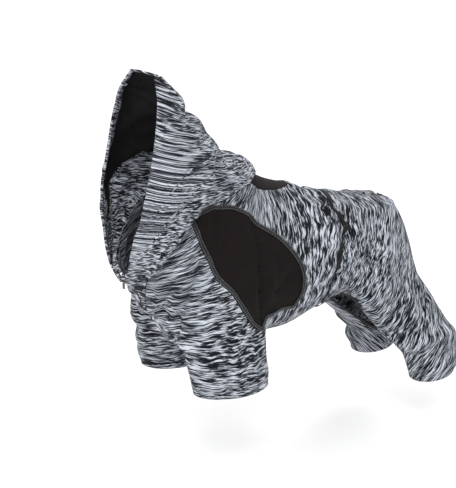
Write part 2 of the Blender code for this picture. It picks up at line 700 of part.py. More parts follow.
def body_pieces(step):
    """Left-side grids of every piece that lies on the body."""
    s = SEAMS
    k = {n: count(v, step) for n, v in s.items()}
    k["arm_rear"] = max(3, k["arm_rear"])
    k["front_raglan"] = k["rear_raglan"]+k["arm_rear"]-k["arm_front"]
    rise = k["rise_top"]+k["rise_tail"]+k["rise_low"]
    k["cut"] = rise
    sp = {n: spaced(v, k[n]) for n, v in s.items()}
    out = {"counts": k}
    m = m_low = max(k["neck_panel"], k["belly_panel"])
    n = k["rear_raglan"]
    out["side_panel"] = patch(SPINE_M, sp["rear_raglan"], spaced(s["panel_rear"], n),
                              spaced(s["neck_panel"], m)[::-1], spaced(s["belly_panel"], m))
    edge = spaced(s["panel_rear"], n)
    turn = int(round(0.62*n))
    low = n-turn
    across = max(3, k["waist"]-low)
    k["waist"] = low+across
    s5, t5 = locate(SPINE_M, edge[turn])
    u = np.linspace(0, 1, across+1)
    cut = place(SPINE_M, s5+(LEAF_EDGE["s"][-1]-s5)*u, t5*(1-u))
    leaf = spaced(s["leaf"], turn)
    cut[0], cut[-1] = edge[turn], leaf[-1]
    waist = spaced(s["waist"], k["waist"])
    out["back_rear"] = patch(SPINE_M, sp["belly_back"], spaced(s["top"], k["belly_back"]),
                             joined(edge[turn:][::-1], cut), waist[::-1])
    out["back_front"] = patch(SPINE_M, edge[:turn+1], leaf, spaced(s["neck_back"], across)[::-1], cut)
    m2 = k["neck_leaf"]
    tip = leaf[-1]
    leaf = leaf[:-1]
    ends = spaced(s["neck_leaf"], m2)[::-1]
    line = snap(np.linspace(0, 1, turn)[:, None]*(tip-ends[-1])*0.97+ends[-1])
    line[:, 1] = 0
    last = np.linspace(0, 1, m2+1)[:, None]*(line[-1]-leaf[-1])+leaf[-1]
    out["back_panel"] = patch(SPINE_M, leaf, line, ends, snap(last))
    mid = 2
    k["hem"] = mid+k["arm_rear"]-k["waist_low"]
    side = joined(spaced(s["belly_panel"], m_low), sp["belly_back"])
    centre = spaced(s["belly_centre"], 200)
    cross = 80
    leg = sp["arm_front"][-1]
    bridge = snap(np.linspace(0, 1, mid+1)[:, None]*(leg-centre[cross])+centre[cross])
    bridge[0], bridge[-1] = centre[cross], leg
    bridge[-1] = snap(leg+0.0010*(centre[cross]-leg)/np.linalg.norm(centre[cross]-leg))
    rear = sp["arm_rear"].copy()
    rear[0] = bridge[-1]
    out["belly_rear"] = flat_patch(spaced(centre[cross:], len(side)-1), side, joined(bridge, rear),
                                   joined(spaced(s["hem"], k["hem"])[::-1], sp["waist_low"][::-1]))
    front = sp["arm_front"].copy()
    front[-1] = bridge[-1]
    first = front[0]
    start = snap(np.linspace(0, 1, mid+1)[:, None]*(first-centre[0])+centre[0])
    start[0], start[-1] = centre[0], first
    out["belly_front"] = flat_patch(spaced(centre[:cross+1], k["arm_front"]), front, start, bridge)
    out["bridge"] = mid
    n = k["front_raglan"]
    m = k["neck_chest"]
    zip_edge = spaced(s["zip"], n)
    foot = np.linspace(0, 1, m+1)[:, None]*(first-zip_edge[-1])+zip_edge[-1]
    foot[1:-1] = snap(foot[1:-1])
    out["chest"] = patch(SPINE_M, zip_edge, sp["front_raglan"], sp["neck_chest"][::-1], foot)
    around = 2*np.pi*0.3*BODY_WIDTH/step
    m = int(round(around*1.05))
    left = joined(sp["front_raglan"], sp["arm_front"], sp["arm_in"])
    right = joined(sp["rear_raglan"], sp["arm_rear"][::-1], sp["arm_in"])
    sh, _ = locate(FORE_M, sp["arm_in"][-1])
    hem = place(FORE_M, sh, np.linspace(270, -90, m+1)+(locate(FORE_M, sp["arm_in"][-1])[1] % 360-270))
    hem[0] = hem[-1] = sp["arm_in"][-1]
    out["sleeve"] = patch(FORE_M, left, right, spaced(s["neck_sleeve"], m)[::-1], hem)
    out["sleeve_split"] = k["front_raglan"]+k["arm_front"]
    m = k["waist"]+k["waist_low"]
    left = joined(sp["cut"], sp["leg_in"])
    right = joined(sp["rise_top"], sp["rise_tail"], sp["rise_low"], sp["leg_in"])
    sh, th = locate(HIND_M, sp["leg_in"][-1])
    hem = place(HIND_M, sh, np.linspace(th % 360, th % 360-360, m+1))
    hem[0] = hem[-1] = sp["leg_in"][-1]
    out["hind"] = patch(HIND_M, left, right, joined(sp["waist_low"][::-1], waist[::-1]), hem)
    out["hind_split"] = rise
    out["tail_rows"] = (k["rise_top"], k["rise_top"]+k["rise_tail"])
    return out


def hood_net(columns):
    """Hood's left half: control rows from the neck seam over the roll to the crown, columns back to front."""
    s = SEAMS
    seam = joined(s["neck_leaf"], s["neck_back"], s["neck_panel"], s["neck_sleeve"], s["neck_chest"])
    seam = spaced(seam, 60)
    share = np.linspace(0, 1, 61)
    seam = np.stack([np.interp(columns, share, seam[:, i]) for i in range(3)], -1)
    n = normals(seam)
    along = np.gradient(seam, axis=0)
    up = np.cross(n, along)
    up = up/np.linalg.norm(up, axis=1, keepdims=True)
    up = up*np.sign(np.sum(up*NECK_UP, 1, keepdims=True))
    rows = [seam-0.7*CLOTH*n+up*HOOD_RISE, seam+n*(HOOD_CLEARANCE+CLOTH)+up*1.2*HOOD_RISE]
    h = sized(HOOD, back_x=BODY_LENGTH, back_z=BODY_DEPTH, front_x=BODY_LENGTH, front_z=BODY_DEPTH,
              gap=BODY_WIDTH, half_width=BODY_WIDTH, lift=BODY_DEPTH)
    for k in range(len(h["gap"])):
        w, gap = h["half_width"][k], h["gap"][k]
        a = np.linspace(0, np.pi-np.arcsin(min(gap/w, 1.0)), 121)
        along = ((1-np.cos(a))/(1-np.cos(a[-1])))**0.85
        back = np.array([h["back_x"][k], 0, h["back_z"][k]])
        front = np.array([h["front_x"][k], 0, h["front_z"][k]])
        d = (front-back)/np.linalg.norm(front-back)
        up = np.array([d[2], 0, -d[0]])
        line = back+along[:, None]*(front-back)+(h["lift"][k]*np.sin(np.pi*along)**1.2)[:, None]*up
        line[:, 1] = -w*np.sin(a)
        line = spaced(line, 60)
        rows.append(np.stack([np.interp(columns, share, line[:, i]) for i in range(3)], -1))
    rows = np.array(rows)
    for k in range(2, len(rows)):
        f = field(rows[k])
        push = np.maximum(HOOD_CLEARANCE+2*CLOTH-f, 0)
        rows[k] = rows[k]+push[..., None]*normals(rows[k])
    return rows


def hood_grid(row_count, columns):
    net = hood_net(columns)
    d = np.linalg.norm(np.diff(net, axis=0), axis=-1).mean(1)
    u = np.concatenate([[0], np.cumsum(d)])
    u = u/u[-1]
    first = u[1]
    v = np.concatenate([[0, first*0.5, first], first+(1-first)*np.linspace(0, 1, row_count+1)[1:]])
    grid = np.empty((len(v), len(columns), 3))
    for j in range(len(columns)):
        for i in range(3):
            grid[:, j, i] = curve(v, u, net[:, j, i])
    grid[:, 0, 1] = -0.6*SEAM_GAP
    n = grid_normals(grid)
    n[:, 0, 1] = 0
    n[:, 0] = n[:, 0]/np.linalg.norm(n[:, 0], axis=-1, keepdims=True)
    h = np.zeros(grid.shape[:2])
    share = np.linspace(0, 1, 9)
    for k in range(len(HOOD_FOLDS["row0"])):
        t = {c: x[k] for c, x in HOOD_FOLDS.items()}
        vs = t["row0"]+(t["row1"]-t["row0"])*share
        cs = t["col0"]+(t["col1"]-t["col0"])*share
        line = []
        for a, b in zip(vs, cs):
            row = [np.interp(a, u, net[:, j, i]) for i in range(3) for j in range(net.shape[1])]
            row = np.array(row).reshape(3, -1).T
            line.append([np.interp(b, columns, row[:, i]) for i in range(3)])
        h = h+t["height"]*np.exp(-(line_distance(grid, np.array(line))/t["width"])**2)
    h[:3] = 0
    return grid+n*(FOLD_SCALE*h)[..., None], n


def grid_normals(grid):
    """Outward normals of a grid from its own rows and columns."""
    a, b = np.gradient(grid, axis=0), np.gradient(grid, axis=1)
    n = np.cross(a, b)
    n = n/np.maximum(np.linalg.norm(n, axis=-1, keepdims=True), 1e-12)
    for _ in range(1):
        m = n.copy()
        m[1:-1] += 0.5*(n[2:]+n[:-2])
        n = m/np.linalg.norm(m, axis=-1, keepdims=True)
    return n


def hood_pieces(row_count, column_count, turned_columns):
    """Outer and inner points of the hood half with its turned face hem, and of its lining."""
    length = 0.30*BODY_LENGTH+0.37*BODY_WIDTH
    face = FACING_WIDTH/length
    columns = np.concatenate([np.linspace(0, 1-face, column_count+1)[:-1],
                              np.linspace(1-face, 1, turned_columns+1)])
    grid, n = hood_grid(row_count, columns)
    turn = CLOTH+0.0004
    fold = grid[:, -1:]-grid[:, -2:-1]
    fold = fold/np.linalg.norm(fold, axis=-1, keepdims=True)
    edge = grid[:, -1:]+fold*0.0012-n[:, -1:]*(0.5*(turn+CLOTH))
    edge_in = grid[:, -1:]+fold*0.0001-n[:, -1:]*(0.5*(turn+CLOTH))
    back = slice(None, -turned_columns-2, -1)
    g, m = grid[:, back], n[:, back]
    outer = np.concatenate([grid, edge, g-m*(turn+CLOTH)], 1)
    inner = np.concatenate([grid-n*CLOTH, edge_in, g-m*turn], 1)
    k = len(columns)-1-turned_columns
    start = 3+max(1, row_count//4)
    lining = grid[start:-1, :k+1]-n[start:-1, :k+1]*(CLOTH+LAYER_GAP)
    lining[:, -1] = step_in(lining[:, -1], lining[:, -2], 0.0010)
    lining[:, 0, 1] = -0.6*SEAM_GAP
    return outer, inner, lining, lining-n[start:-1, :k+1]*LINING_CLOTH


def grid_solid(name, outer, inner, look, flip=False):
    index = np.arange(outer.shape[0]*outer.shape[1]).reshape(outer.shape[:2])
    o, i = outer.reshape(-1, 3).copy(), inner.reshape(-1, 3).copy()
    for v in (o, i):
        v[:, 1] = np.minimum(v[:, 1], -0.5*SEAM_GAP)
    if flip:
        o, i = o*np.array([1, -1, 1]), i*np.array([1, -1, 1])
    points, faces = walled(o, i, cells([index]))
    if flip:
        faces = [f[::-1] for f in faces]
    return node(name, points, faces, look)


def zip_frame():
    """Zip's top, downward and outward directions and length."""
    line = SEAMS["zip"]*np.array([1, 0, 1])
    d = line[-1]-line[0]
    length = np.linalg.norm(d)
    d = d/length
    return line[0], d, np.array([d[2], 0, -d[0]]), length


def zip_point(q, y, h):
    """A place q down the zip, y across and h outward of the cloth's middle."""
    line = SEAMS["zip"]*np.array([1, 0, 1])
    s = np.concatenate([[0], np.cumsum(np.linalg.norm(np.diff(line, axis=0), axis=1))])
    p = np.stack([np.interp(q, s, line[:, i]) for i in range(3)], -1)
    a = np.stack([np.interp(np.asarray(q)+0.002, s, line[:, i]) for i in range(3)], -1)
    b = np.stack([np.interp(np.asarray(q)-0.002, s, line[:, i]) for i in range(3)], -1)
    d = (a-b)/np.linalg.norm(a-b, axis=-1, keepdims=True)
    out = np.stack([d[..., 2], 0*d[..., 2], -d[..., 0]], -1)
    p = p+out*(np.asarray(h)-0.5*CLOTH)[..., None]
    p[..., 1] = y
    return p


def zip_end():
    """How far down the zip its tapes reach, clear of the belly panel."""
    top, d, _, _ = zip_frame()
    return (SEAMS["belly_centre"][0]-top) @ d-ZIP_FOOT_GAP


def bar(name, q, y0, y1, h0, h1, look):
    """A strip down the zip between two widths and two heights at each q."""
    q = np.asarray(q, float)
    y0, y1, h0, h1 = (np.broadcast_to(v, q.shape) for v in (y0, y1, h0, h1))
    ring = np.stack([zip_point(q, y0, h0), zip_point(q, y1, h0), zip_point(q, y1, h1), zip_point(q, y0, h1)], 1)
    k = len(q)
    faces = []
    for i in range(k-1):
        for j in range(4):
            a, b, c, d = i*4+j, i*4+(j+1) % 4, (i+1)*4+(j+1) % 4, (i+1)*4+j
            faces += [(a, b, c), (a, c, d)]
    e = (k-1)*4
    faces += [(0, 2, 1), (0, 3, 2), (e, e+1, e+2), (e, e+2, e+3)]
    return node(name, ring.reshape(-1, 3), faces, look)


def block(name, centre, axes, size, look):
    """A box with its own three directions."""
    c = np.array([(i, j, k) for i in (-.5, .5) for j in (-.5, .5) for k in (-.5, .5)])*np.array(size)
    points = centre+c @ np.array(axes)
    quads = ((0, 1, 3, 2), (4, 6, 7, 5), (0, 4, 5, 1), (2, 3, 7, 6), (0, 2, 6, 4), (1, 5, 7, 3))
    faces = [t for a, b, c, d in quads for t in ((a, b, c), (a, c, d))]
    return node(name, points, faces, look)


def merged(name, parts):
    """One solid from overlapping blocks."""
    first = parts[0]
    for other in parts[1:]:
        m = first.modifiers.new("add", "BOOLEAN")
        m.operation, m.solver, m.object = "UNION", "EXACT", other
        whole = bpy.data.meshes.new_from_object(first.evaluated_get(bpy.context.evaluated_depsgraph_get()))
        first.modifiers.clear()
        first.data = whole
        bpy.data.objects.remove(other)
    first.name = name
    return first


def build_zip():
    _, d, out, _ = zip_frame()
    half, end = 0.5*ZIP_OPENING, zip_end()
    tape = np.linspace(0.0015, end, 9)
    for side, tag in ((-1, "left"), (1, "right")):
        edges = sorted((side*(half-0.0004), side*(half-0.0004-TAPE_REACH+0.0004)))
        bar("zip_tape_"+tag, tape, edges[0], edges[1], -0.5*TAPE_THICK, 0.5*TAPE_THICK, BAND)
    n = int((end-0.0045)/TOOTH_PITCH)
    q = 0.0040+TOOTH_PITCH*np.arange(2*n)/2
    high = np.where(np.arange(2*n) % 2 == 0, 1.0, 0.62)
    bar("zip_teeth", q, -0.5*TEETH_WIDTH, 0.5*TEETH_WIDTH, -0.5*TEETH_THICK*high, 0.5*TEETH_THICK*high, BAND)
    at_q = 0.0052
    centre = zip_point(np.array(at_q), 0.0, np.array(0.0))
    axes = (d, np.array([0, 1.0, 0]), out)
    gap = 0.5*TEETH_THICK+0.0010
    mid = gap+0.5*SLIDER_PLATE
    parts = [block("a", centre+out*mid, axes, (SLIDER_LENGTH, SLIDER_WIDTH, SLIDER_PLATE), METAL),
             block("b", centre-out*mid, axes, (SLIDER_LENGTH, SLIDER_WIDTH, SLIDER_PLATE), METAL),
             block("c", centre-d*(0.5*SLIDER_LENGTH-0.0014), axes, (0.0022, 0.0020, 2*mid), METAL)]
    base = gap+SLIDER_PLATE
    post = BRIDGE_HEIGHT
    for sign in (-1, 1):
        c = centre+d*sign*(0.5*SLIDER_LENGTH-0.0016)+out*(base+0.5*post-0.0002)
        parts.append(block("p", c, axes, (0.0012, BRIDGE_WIDTH, post), METAL))
    c = centre+out*(base+post-0.0002)
    parts.append(block("t", c, axes, (SLIDER_LENGTH-0.0014, 0.9*BRIDGE_WIDTH, 0.0010), METAL))
    merged("zip_slider", parts)
    pin = centre+out*(base+0.0011)-d*0.0010
    build_pull(pin)
    return pin


def build_pull(pin):
    """Pull hanging straight down from its bar under the slider's bridge."""
    x, y, z = np.array([1.0, 0, 0]), np.array([0, 1.0, 0]), np.array([0, 0, 1.0])
    axes = (x, y, z)
    bar_size = 0.0011
    rail = 0.5*(PULL_WIDTH-PULL_EYE)
    eye = 0.0064
    parts = [block("e", pin, axes, (bar_size, PULL_WIDTH, bar_size), METAL)]
    for sign in (-1, 1):
        c = pin+y*sign*0.5*(PULL_WIDTH-rail)-z*(0.5*eye)
        parts.append(block("r", c, axes, (bar_size, rail, eye+bar_size), METAL))
    c = pin-z*(eye+0.5*(PULL_LENGTH-eye))
    parts.append(block("h", c, axes, (PULL_THICK, PULL_WIDTH, PULL_LENGTH-eye), METAL))
    merged("zip_pull", parts)


def build_body():
    b = body_pieces(STEP)
    k = b["counts"]
    out = {}
    both = lambda g: (g, mirrored(g))
    out["back_body"] = Cloth(list(both(b["back_rear"])+both(b["back_front"])), CLOTH)
    leaf = pulled_in(b["back_panel"], left=99, bottom=1.5)
    out["back_panel"] = Cloth(list(both(leaf)), CLOTH)
    rear = b["belly_rear"]
    share = np.where(np.arange(rear.shape[1]) > b["bridge"], 1.0, 0.0)
    rear = pulled_in(rear, right=99, top=share)
    front = b["belly_front"]
    front = pulled_in(front, right=len(front)-1, top=3.0)
    out["belly_panel"] = Cloth(list(both(rear)+both(front)), CLOTH)
    for tag, turn in (("left", lambda g: g), ("right", mirrored)):
        out["side_panel_"+tag] = Cloth([turn(pulled_in(b["side_panel"], 99, 99, 0, 1.0))], CLOTH)
        out["chest_"+tag] = Cloth([turn(pulled_in(b["chest"], 0, 99, 0, 1.0))], CLOTH)
        n = b["sleeve_split"]
        out["sleeve_"+tag] = Cloth([turn(pulled_in(b["sleeve"], n, n))], CLOTH)
        n = b["hind_split"]
        out["hind_"+tag] = Cloth([turn(pulled_in(b["hind"], 0, 0, 1.0))], CLOTH)
    for name, c in out.items():
        cloth_node(name, c, BLACK if "panel_" in name+"_" and "belly" not in name else HEATHER)
    return b, out


def build_bands(b, cloths):
    """Bands over the seams and edges, each standing on the cloth under it."""
    for tag in ("left", "right"):
        c = cloths["side_panel_"+tag]
        pick, loop, inner = border(c.outer[0])
        p, q = pick(c.outer[0], loop), pick(c.outer[0], inner)
        n, m = pick(c.normal[0], loop), pick(c.normal[0], inner)
        q, m = band_side(p, q, n, m, TRIM_WIDTH)
        ribbon("panel_trim_"+tag, [(p, n), (q, m)], BAND_LIFT, TRIM_CLOTH, BAND)
    k = b["counts"]
    back, belly, hind = cloths["back_body"], cloths["belly_panel"], cloths["hind_left"]
    bg, bn = belly.outer[0], belly.normal[0]
    hg, hn = hind.outer[0], hind.normal[0]
    ag, an = back.outer[0], back.normal[0]
    cols = slice(bg.shape[1]-k["waist_low"], -1)
    front = [np.concatenate([u[-1, cols], v[-1]]) for u, v in ((bg, ag), (bn, an))]
    front_in = [np.concatenate([u[-2, cols], v[-2]]) for u, v in ((bg, ag), (bn, an))]
    rear = [hg[0, 1:], hn[0, 1:]]
    rear_in = [hg[1, 1:], hn[1, 1:]]
    p = band_side(front[0], front_in[0], front[1], front_in[1], 0.5*WAIST_BAND_WIDTH)
    q = band_side(rear[0], rear_in[0], rear[1], rear_in[1], 0.5*WAIST_BAND_WIDTH)
    mid = (0.5*(front[0]+rear[0])+front[1]*0.0003, front[1])
    flip = np.array([1, -1, 1])
    full = lambda v: np.concatenate([v[:-1], v[-1:]*np.array([1, 0, 1]), (v[:-1]*flip)[::-1]])
    sides = [(full(u), full(v)) for u, v in (p, mid, q)]
    ribbon("waist_band", sides, 1.35*BAND_LIFT, TRIM_CLOTH, BAND, closed=False)

    def loop(v):
        ends = np.array([1, 0, 1])
        return np.concatenate([v[:1]*ends, v[1:-1], v[-1:]*ends, (v[1:-1]*flip)[::-1]])

    def ring(name, edge, inner, n, m, lift):
        q, m = band_side(edge, inner, n, m, BINDING_WIDTH)
        lift = np.concatenate([lift, lift[1:-1][::-1]])[:, None, None]
        ribbon(name, [(loop(edge), loop(n)), (loop(q), loop(m))], lift, TRIM_CLOTH, BAND)
    rows, hem = b["hind_split"], k["hem"]
    edge, n = (np.concatenate([u[-1, :hem], v[:rows+1, 0]]) for u, v in ((bg, hg), (bn, hn)))
    inner, m = (np.concatenate([u[-2, :hem], v[:rows, 1], v[rows+1:rows+2, 0]]) for u, v in ((bg, hg), (bn, hn)))
    ring("cutout_binding", edge, inner, n, m, BAND_LIFT*(1.4+2.3*np.linspace(0, 1, len(edge))**3))
    r0, r1 = b["tail_rows"]
    edge, n = (u[r0:r1+1, -1] for u in (hg, hn))
    inner, m = (np.concatenate([u[r0-1:r0, -1], u[r0+1:r1, -2], u[r1+1:r1+2, -1]]) for u in (hg, hn))
    ring("tail_binding", edge, inner, n, m, np.full(len(edge), 2.4*BAND_LIFT))


def main():
    for ob in list(bpy.data.objects):
        bpy.data.objects.remove(ob)
    b, cloths = build_body()
    build_bands(b, cloths)
    outer, inner, lining, lining_in = hood_pieces(12, 8, 2)
    for tag, flip in (("left", False), ("right", True)):
        grid_solid("hood_"+tag, outer, inner, HEATHER, flip)
        grid_solid("hood_lining_"+tag, lining, lining_in, BLACK, flip)
    build_zip()


SEAMS = all_seams()
SEAMS_WAIST = SEAMS["waist"][::4]
FOLDS = fold_lines()
REST = cast([0, 0, -0.36*BODY_DEPTH], [0, 0, 1])*np.array([0, 0, 1])-np.array([0, 0, CLOTH])
main()
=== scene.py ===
import math

import bmesh
import bpy
import numpy as np
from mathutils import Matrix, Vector


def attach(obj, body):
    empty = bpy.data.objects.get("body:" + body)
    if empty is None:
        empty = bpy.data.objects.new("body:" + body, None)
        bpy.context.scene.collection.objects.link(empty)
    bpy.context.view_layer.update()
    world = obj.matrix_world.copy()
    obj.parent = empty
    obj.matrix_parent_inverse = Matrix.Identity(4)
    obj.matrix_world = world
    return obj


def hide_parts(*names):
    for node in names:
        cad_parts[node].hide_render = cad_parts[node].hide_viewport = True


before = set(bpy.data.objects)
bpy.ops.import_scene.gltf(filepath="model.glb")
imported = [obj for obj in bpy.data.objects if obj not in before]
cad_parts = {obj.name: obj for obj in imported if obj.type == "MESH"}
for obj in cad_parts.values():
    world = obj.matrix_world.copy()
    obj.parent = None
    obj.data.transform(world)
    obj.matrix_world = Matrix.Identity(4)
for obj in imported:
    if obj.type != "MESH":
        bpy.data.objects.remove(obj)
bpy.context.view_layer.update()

bl_info = {
    "name": "Dog Hoodie",
    "version": (1, 0, 0),
    "blender": (4, 5, 0),
    "location": "3D View > Sidebar > Dog Hoodie",
    "description": "Builds a dressed dog hoodie in heather jersey round its packed frame",
    "category": "Object",
}

# sizes of the frame's own solids, in metres
BODY_LENGTH = 0.430
BODY_DEPTH = 0.221
BODY_WIDTH = 0.158
CLOTH = 0.0016
LINING_CLOTH = 0.0012
SEAM_GAP = 0.0005
LAYER_GAP = 0.0005
BAND_LIFT = 0.0010
TRIM_WIDTH = 0.0055
TRIM_CLOTH = 0.0009
# the black strip on the waist seam is painted shade: it stands for the shade in the seam's gathered fold
WAIST_SHADE_BAND_WIDTH = 0.0060
BINDING_WIDTH = 0.0050
FACING_WIDTH = 0.024
HOOD_CLEARANCE = 0.0030
HOOD_RISE = 0.0011
ZIP_OPENING = 0.0064
TAPE_THICK = 0.0008
TAPE_REACH = 0.0016
ZIP_FOOT_GAP = 0.0008
TEETH_THICK = 0.0018

# lengths that only the looks use, in metres, and a hem stitch against a cover stitch
BAND_INSET = 0.0002
HEM_GAP = 0.0004
TAPE_INSET = 0.0004
STITCH_LIFT = 0.0001
LONG_STITCH = 1.3
THIN_THREAD = 0.9


def table(columns, *rows):
    """Named columns over a short table."""
    return {n: np.array([r[i] for r in rows], float) for i, n in enumerate(columns.split())}


# cross-sections, in shares of the body's length, depth and width
TORSO = table("x top bottom half_width",
    (-0.535, -0.054, -0.543, 0.215),
    (-0.477, 0.063, -0.724, 0.354),
    (-0.372, 0.154, -0.842, 0.456),
    (-0.233, 0.172, -0.828, 0.5),
    (-0.093, 0.122, -0.828, 0.494),
    (0.047, 0.036, -0.751, 0.456),
    (0.174, -0.036, -0.692, 0.418),
    (0.279, -0.09, -0.733, 0.405),
    (0.349, -0.118, -0.769, 0.329),
    (0.395, -0.235, -0.747, 0.266),
    (0.442, -0.398, -0.679, 0.152),
    (0.465, -0.498, -0.566, 0.076))
NECK = table("q shift half_length half_width",
    (-0.302, 0.023, 0.186, 0.316),
    (-0.209, 0.009, 0.214, 0.38),
    (-0.116, 0.005, 0.235, 0.411),
    (0, 0, 0.244, 0.392),
    (0.116, -0.014, 0.209, 0.354),
    (0.233, -0.028, 0.167, 0.316))
FORELEG = table("z x y half_length half_width",
    (-1.086, -0.328, -0.43, 0.126, 0.234),
    (-0.86, -0.342, -0.411, 0.137, 0.234),
    (-0.679, -0.351, -0.38, 0.147, 0.228),
    (-0.452, -0.367, -0.342, 0.144, 0.203),
    (-0.226, -0.391, -0.304, 0.116, 0.152),
    (-0.045, -0.395, -0.278, 0.07, 0.089))
HINDLEG = table("z x y half_length half_width",
    (-1.403, 0.451, -0.443, 0.063, 0.171),
    (-1.312, 0.458, -0.443, 0.067, 0.184),
    (-1.222, 0.465, -0.437, 0.084, 0.209),
    (-1.131, 0.465, -0.424, 0.1, 0.228),
    (-1.063, 0.451, -0.405, 0.114, 0.241),
    (-0.905, 0.391, -0.367, 0.13, 0.247),
    (-0.724, 0.33, -0.323, 0.137, 0.234),
    (-0.543, 0.288, -0.272, 0.128, 0.209),
    (-0.271, 0.274, -0.222, 0.102, 0.165),
    (-0.136, 0.274, -0.19, 0.07, 0.101))
SEAT = table("z x y half_length half_width",
    (-1.122, 0.472, 0, 0.028, 0.139),
    (-1.041, 0.465, 0, 0.056, 0.19),
    (-0.905, 0.447, 0, 0.077, 0.228),
    (-0.724, 0.409, 0, 0.093, 0.241),
    (-0.543, 0.367, 0, 0.093, 0.215))
SPINE = table("s x y z tilt",
    (-0.5, -0.495, 0, 0.213, 58),
    (0, -0.409, 0, -0.054, 58),
    (0.25, -0.349, 0, -0.226, 40),
    (0.5, -0.256, 0, -0.326, 16),
    (0.75, -0.093, 0, -0.344, 6),
    (1, 0.121, 0, -0.362, 17),
    (1.3, 0.302, 0, -0.407, 15))
FORE_LINE = table("s x y z tilt",
    (-0.4, -0.453, -0.127, 0.136, 58),
    (0, -0.423, -0.177, 0, 62),
    (0.35, -0.372, -0.278, -0.271, 74),
    (0.65, -0.349, -0.367, -0.588, 86),
    (0.8, -0.342, -0.411, -0.837, 90),
    (1.05, -0.335, -0.43, -1.109, 90))
HIND_LINE = table("s x y z tilt",
    (-0.3, 0.023, -0.165, -0.362, 8),
    (0, 0.121, -0.165, -0.389, 12),
    (0.3, 0.256, -0.215, -0.507, 34),
    (0.6, 0.353, -0.316, -0.747, 58),
    (0.8, 0.442, -0.405, -1.032, 74),
    (1, 0.458, -0.443, -1.312, 82),
    (1.05, 0.458, -0.443, -1.376, 84))
ZIP_LINE = table("x y z",
    (-0.619, -0.02, -0.299),
    (-0.588, -0.02, -0.421))
ARM_FRONT = table("x y z",
    (-0.516, -0.076, -0.67),
    (-0.465, -0.114, -0.778),
    (-0.4, -0.158, -0.851),
    (-0.342, -0.177, -0.869))
ARM_REAR = table("x y z",
    (-0.342, -0.177, -0.869),
    (-0.274, -0.19, -0.851),
    (-0.228, -0.285, -0.805),
    (-0.216, -0.43, -0.747))
ARM_IN = table("x y z",
    (-0.342, -0.177, -0.869),
    (-0.34, -0.19, -0.973),
    (-0.337, -0.196, -1.045))
CUT = table("x y z",
    (0.165, -0.285, -0.719),
    (0.274, -0.266, -0.824),
    (0.344, -0.241, -0.946),
    (0.4, -0.19, -1.059),
    (0.437, -0.101, -1.104),
    (0.465, 0, -1.1))
RISE_TOP = table("x y z",
    (0.233, 0, -0.059),
    (0.349, 0, -0.122))
RISE_TAIL = table("x y z",
    (0.349, 0, -0.122),
    (0.363, -0.076, -0.163),
    (0.386, -0.12, -0.249),
    (0.412, -0.12, -0.339),
    (0.435, -0.076, -0.416),
    (0.451, 0, -0.471))
RISE_LOW = table("x y z",
    (0.451, 0, -0.471),
    (0.479, 0, -0.611),
    (0.502, 0, -0.769),
    (0.516, 0, -0.95),
    (0.498, 0, -1.068),
    (0.465, 0, -1.1))
LEG_IN = table("x y z",
    (0.465, 0, -1.1),
    (0.46, -0.19, -1.131),
    (0.458, -0.253, -1.204),
    (0.458, -0.259, -1.271))
HOOD = table("back_x back_z front_x front_z gap half_width lift",
    (-0.186, 0.163, -0.595, -0.348, 0.057, 0.456, 0.226),
    (-0.158, 0.195, -0.623, -0.317, 0.108, 0.494, 0.262),
    (-0.158, 0.244, -0.637, -0.235, 0.165, 0.5, 0.271),
    (-0.193, 0.308, -0.64, -0.154, 0.203, 0.494, 0.253),
    (-0.24, 0.33, -0.637, -0.045, 0.253, 0.481, 0.217),
    (-0.291, 0.398, -0.63, 0.1, 0.342, 0.462, 0.172),
    (-0.342, 0.534, -0.609, 0.281, 0.354, 0.437, 0.118),
    (-0.379, 0.62, -0.591, 0.443, 0.361, 0.418, 0.063),
    (-0.407, 0.661, -0.577, 0.588, 0.354, 0.392, 0.036),
    (-0.437, 0.76, -0.56, 0.76, 0.316, 0.342, 0.018),
    (-0.488, 0.873, -0.542, 0.896, 0.19, 0.215, 0))

# seams on the trunk: share along the spine line and angle from the top, in degrees
NECK_CHEST = table("s t", (-0.17, 138), (-0.09, 158), (0, 177))
NECK_SLEEVE = table("s t", (-0.25, 97), (-0.22, 118), (-0.17, 138))
NECK_PANEL = table("s t", (-0.17, 62), (-0.22, 80), (-0.25, 97))
NECK_BACK = table("s t", (-0.03, 20), (-0.09, 42), (-0.17, 62))
NECK_LEAF = table("s t", (-0.02, 0), (-0.03, 20))
REAR_RAGLAN = table("s t", (-0.25, 97), (-0.02, 103.5), (0.158, 108.8), (0.351, 112.4), (0.469, 122.9),
                    (0.588, 133.5))
PANEL_REAR = table("s t", (-0.17, 62), (0, 46), (0.202, 41.8), (0.45, 45), (0.618, 54.1), (0.751, 80.6),
                   (0.78, 93), (0.796, 115.9), (0.77, 133))
LEAF_EDGE = table("s t", (-0.03, 20), (0.35, 20), (0.56, 20.5), (0.68, 18), (0.766, 12), (0.80, 5), (0.81, 0))
TOP_LINE = table("s t", (0.81, 0), (0.945, 0))
WAIST = table("s t", (0.945, 0), (0.93, 28), (0.96, 42), (0.975, 56), (0.96, 70), (0.96, 104), (0.955, 121))
WAIST_LOW = table("s t", (0.955, 121), (0.945, 134), (0.985, 153))
BELLY_HEM = table("s t", (0.985, 153), (1.01, 166), (1.03, 180))
BELLY_PANEL = table("s t", (0.588, 133.5), (0.65, 132), (0.77, 133))
BELLY_BACK = table("s t", (0.77, 133), (0.825, 127), (0.90, 121.2), (0.955, 121))
FRONT_RAGLAN = table("s t", (-0.17, 138), (-0.02, 147), (0.01, 152.9), (0.054, 161.8), (0.1, 167.1),
                     (0.13, 170.6), (0.188, 175.5))
BELLY_CENTRE = table("s t", (0.188, 180), (0.3, 180), (0.5, 180), (0.75, 180), (1.03, 180))

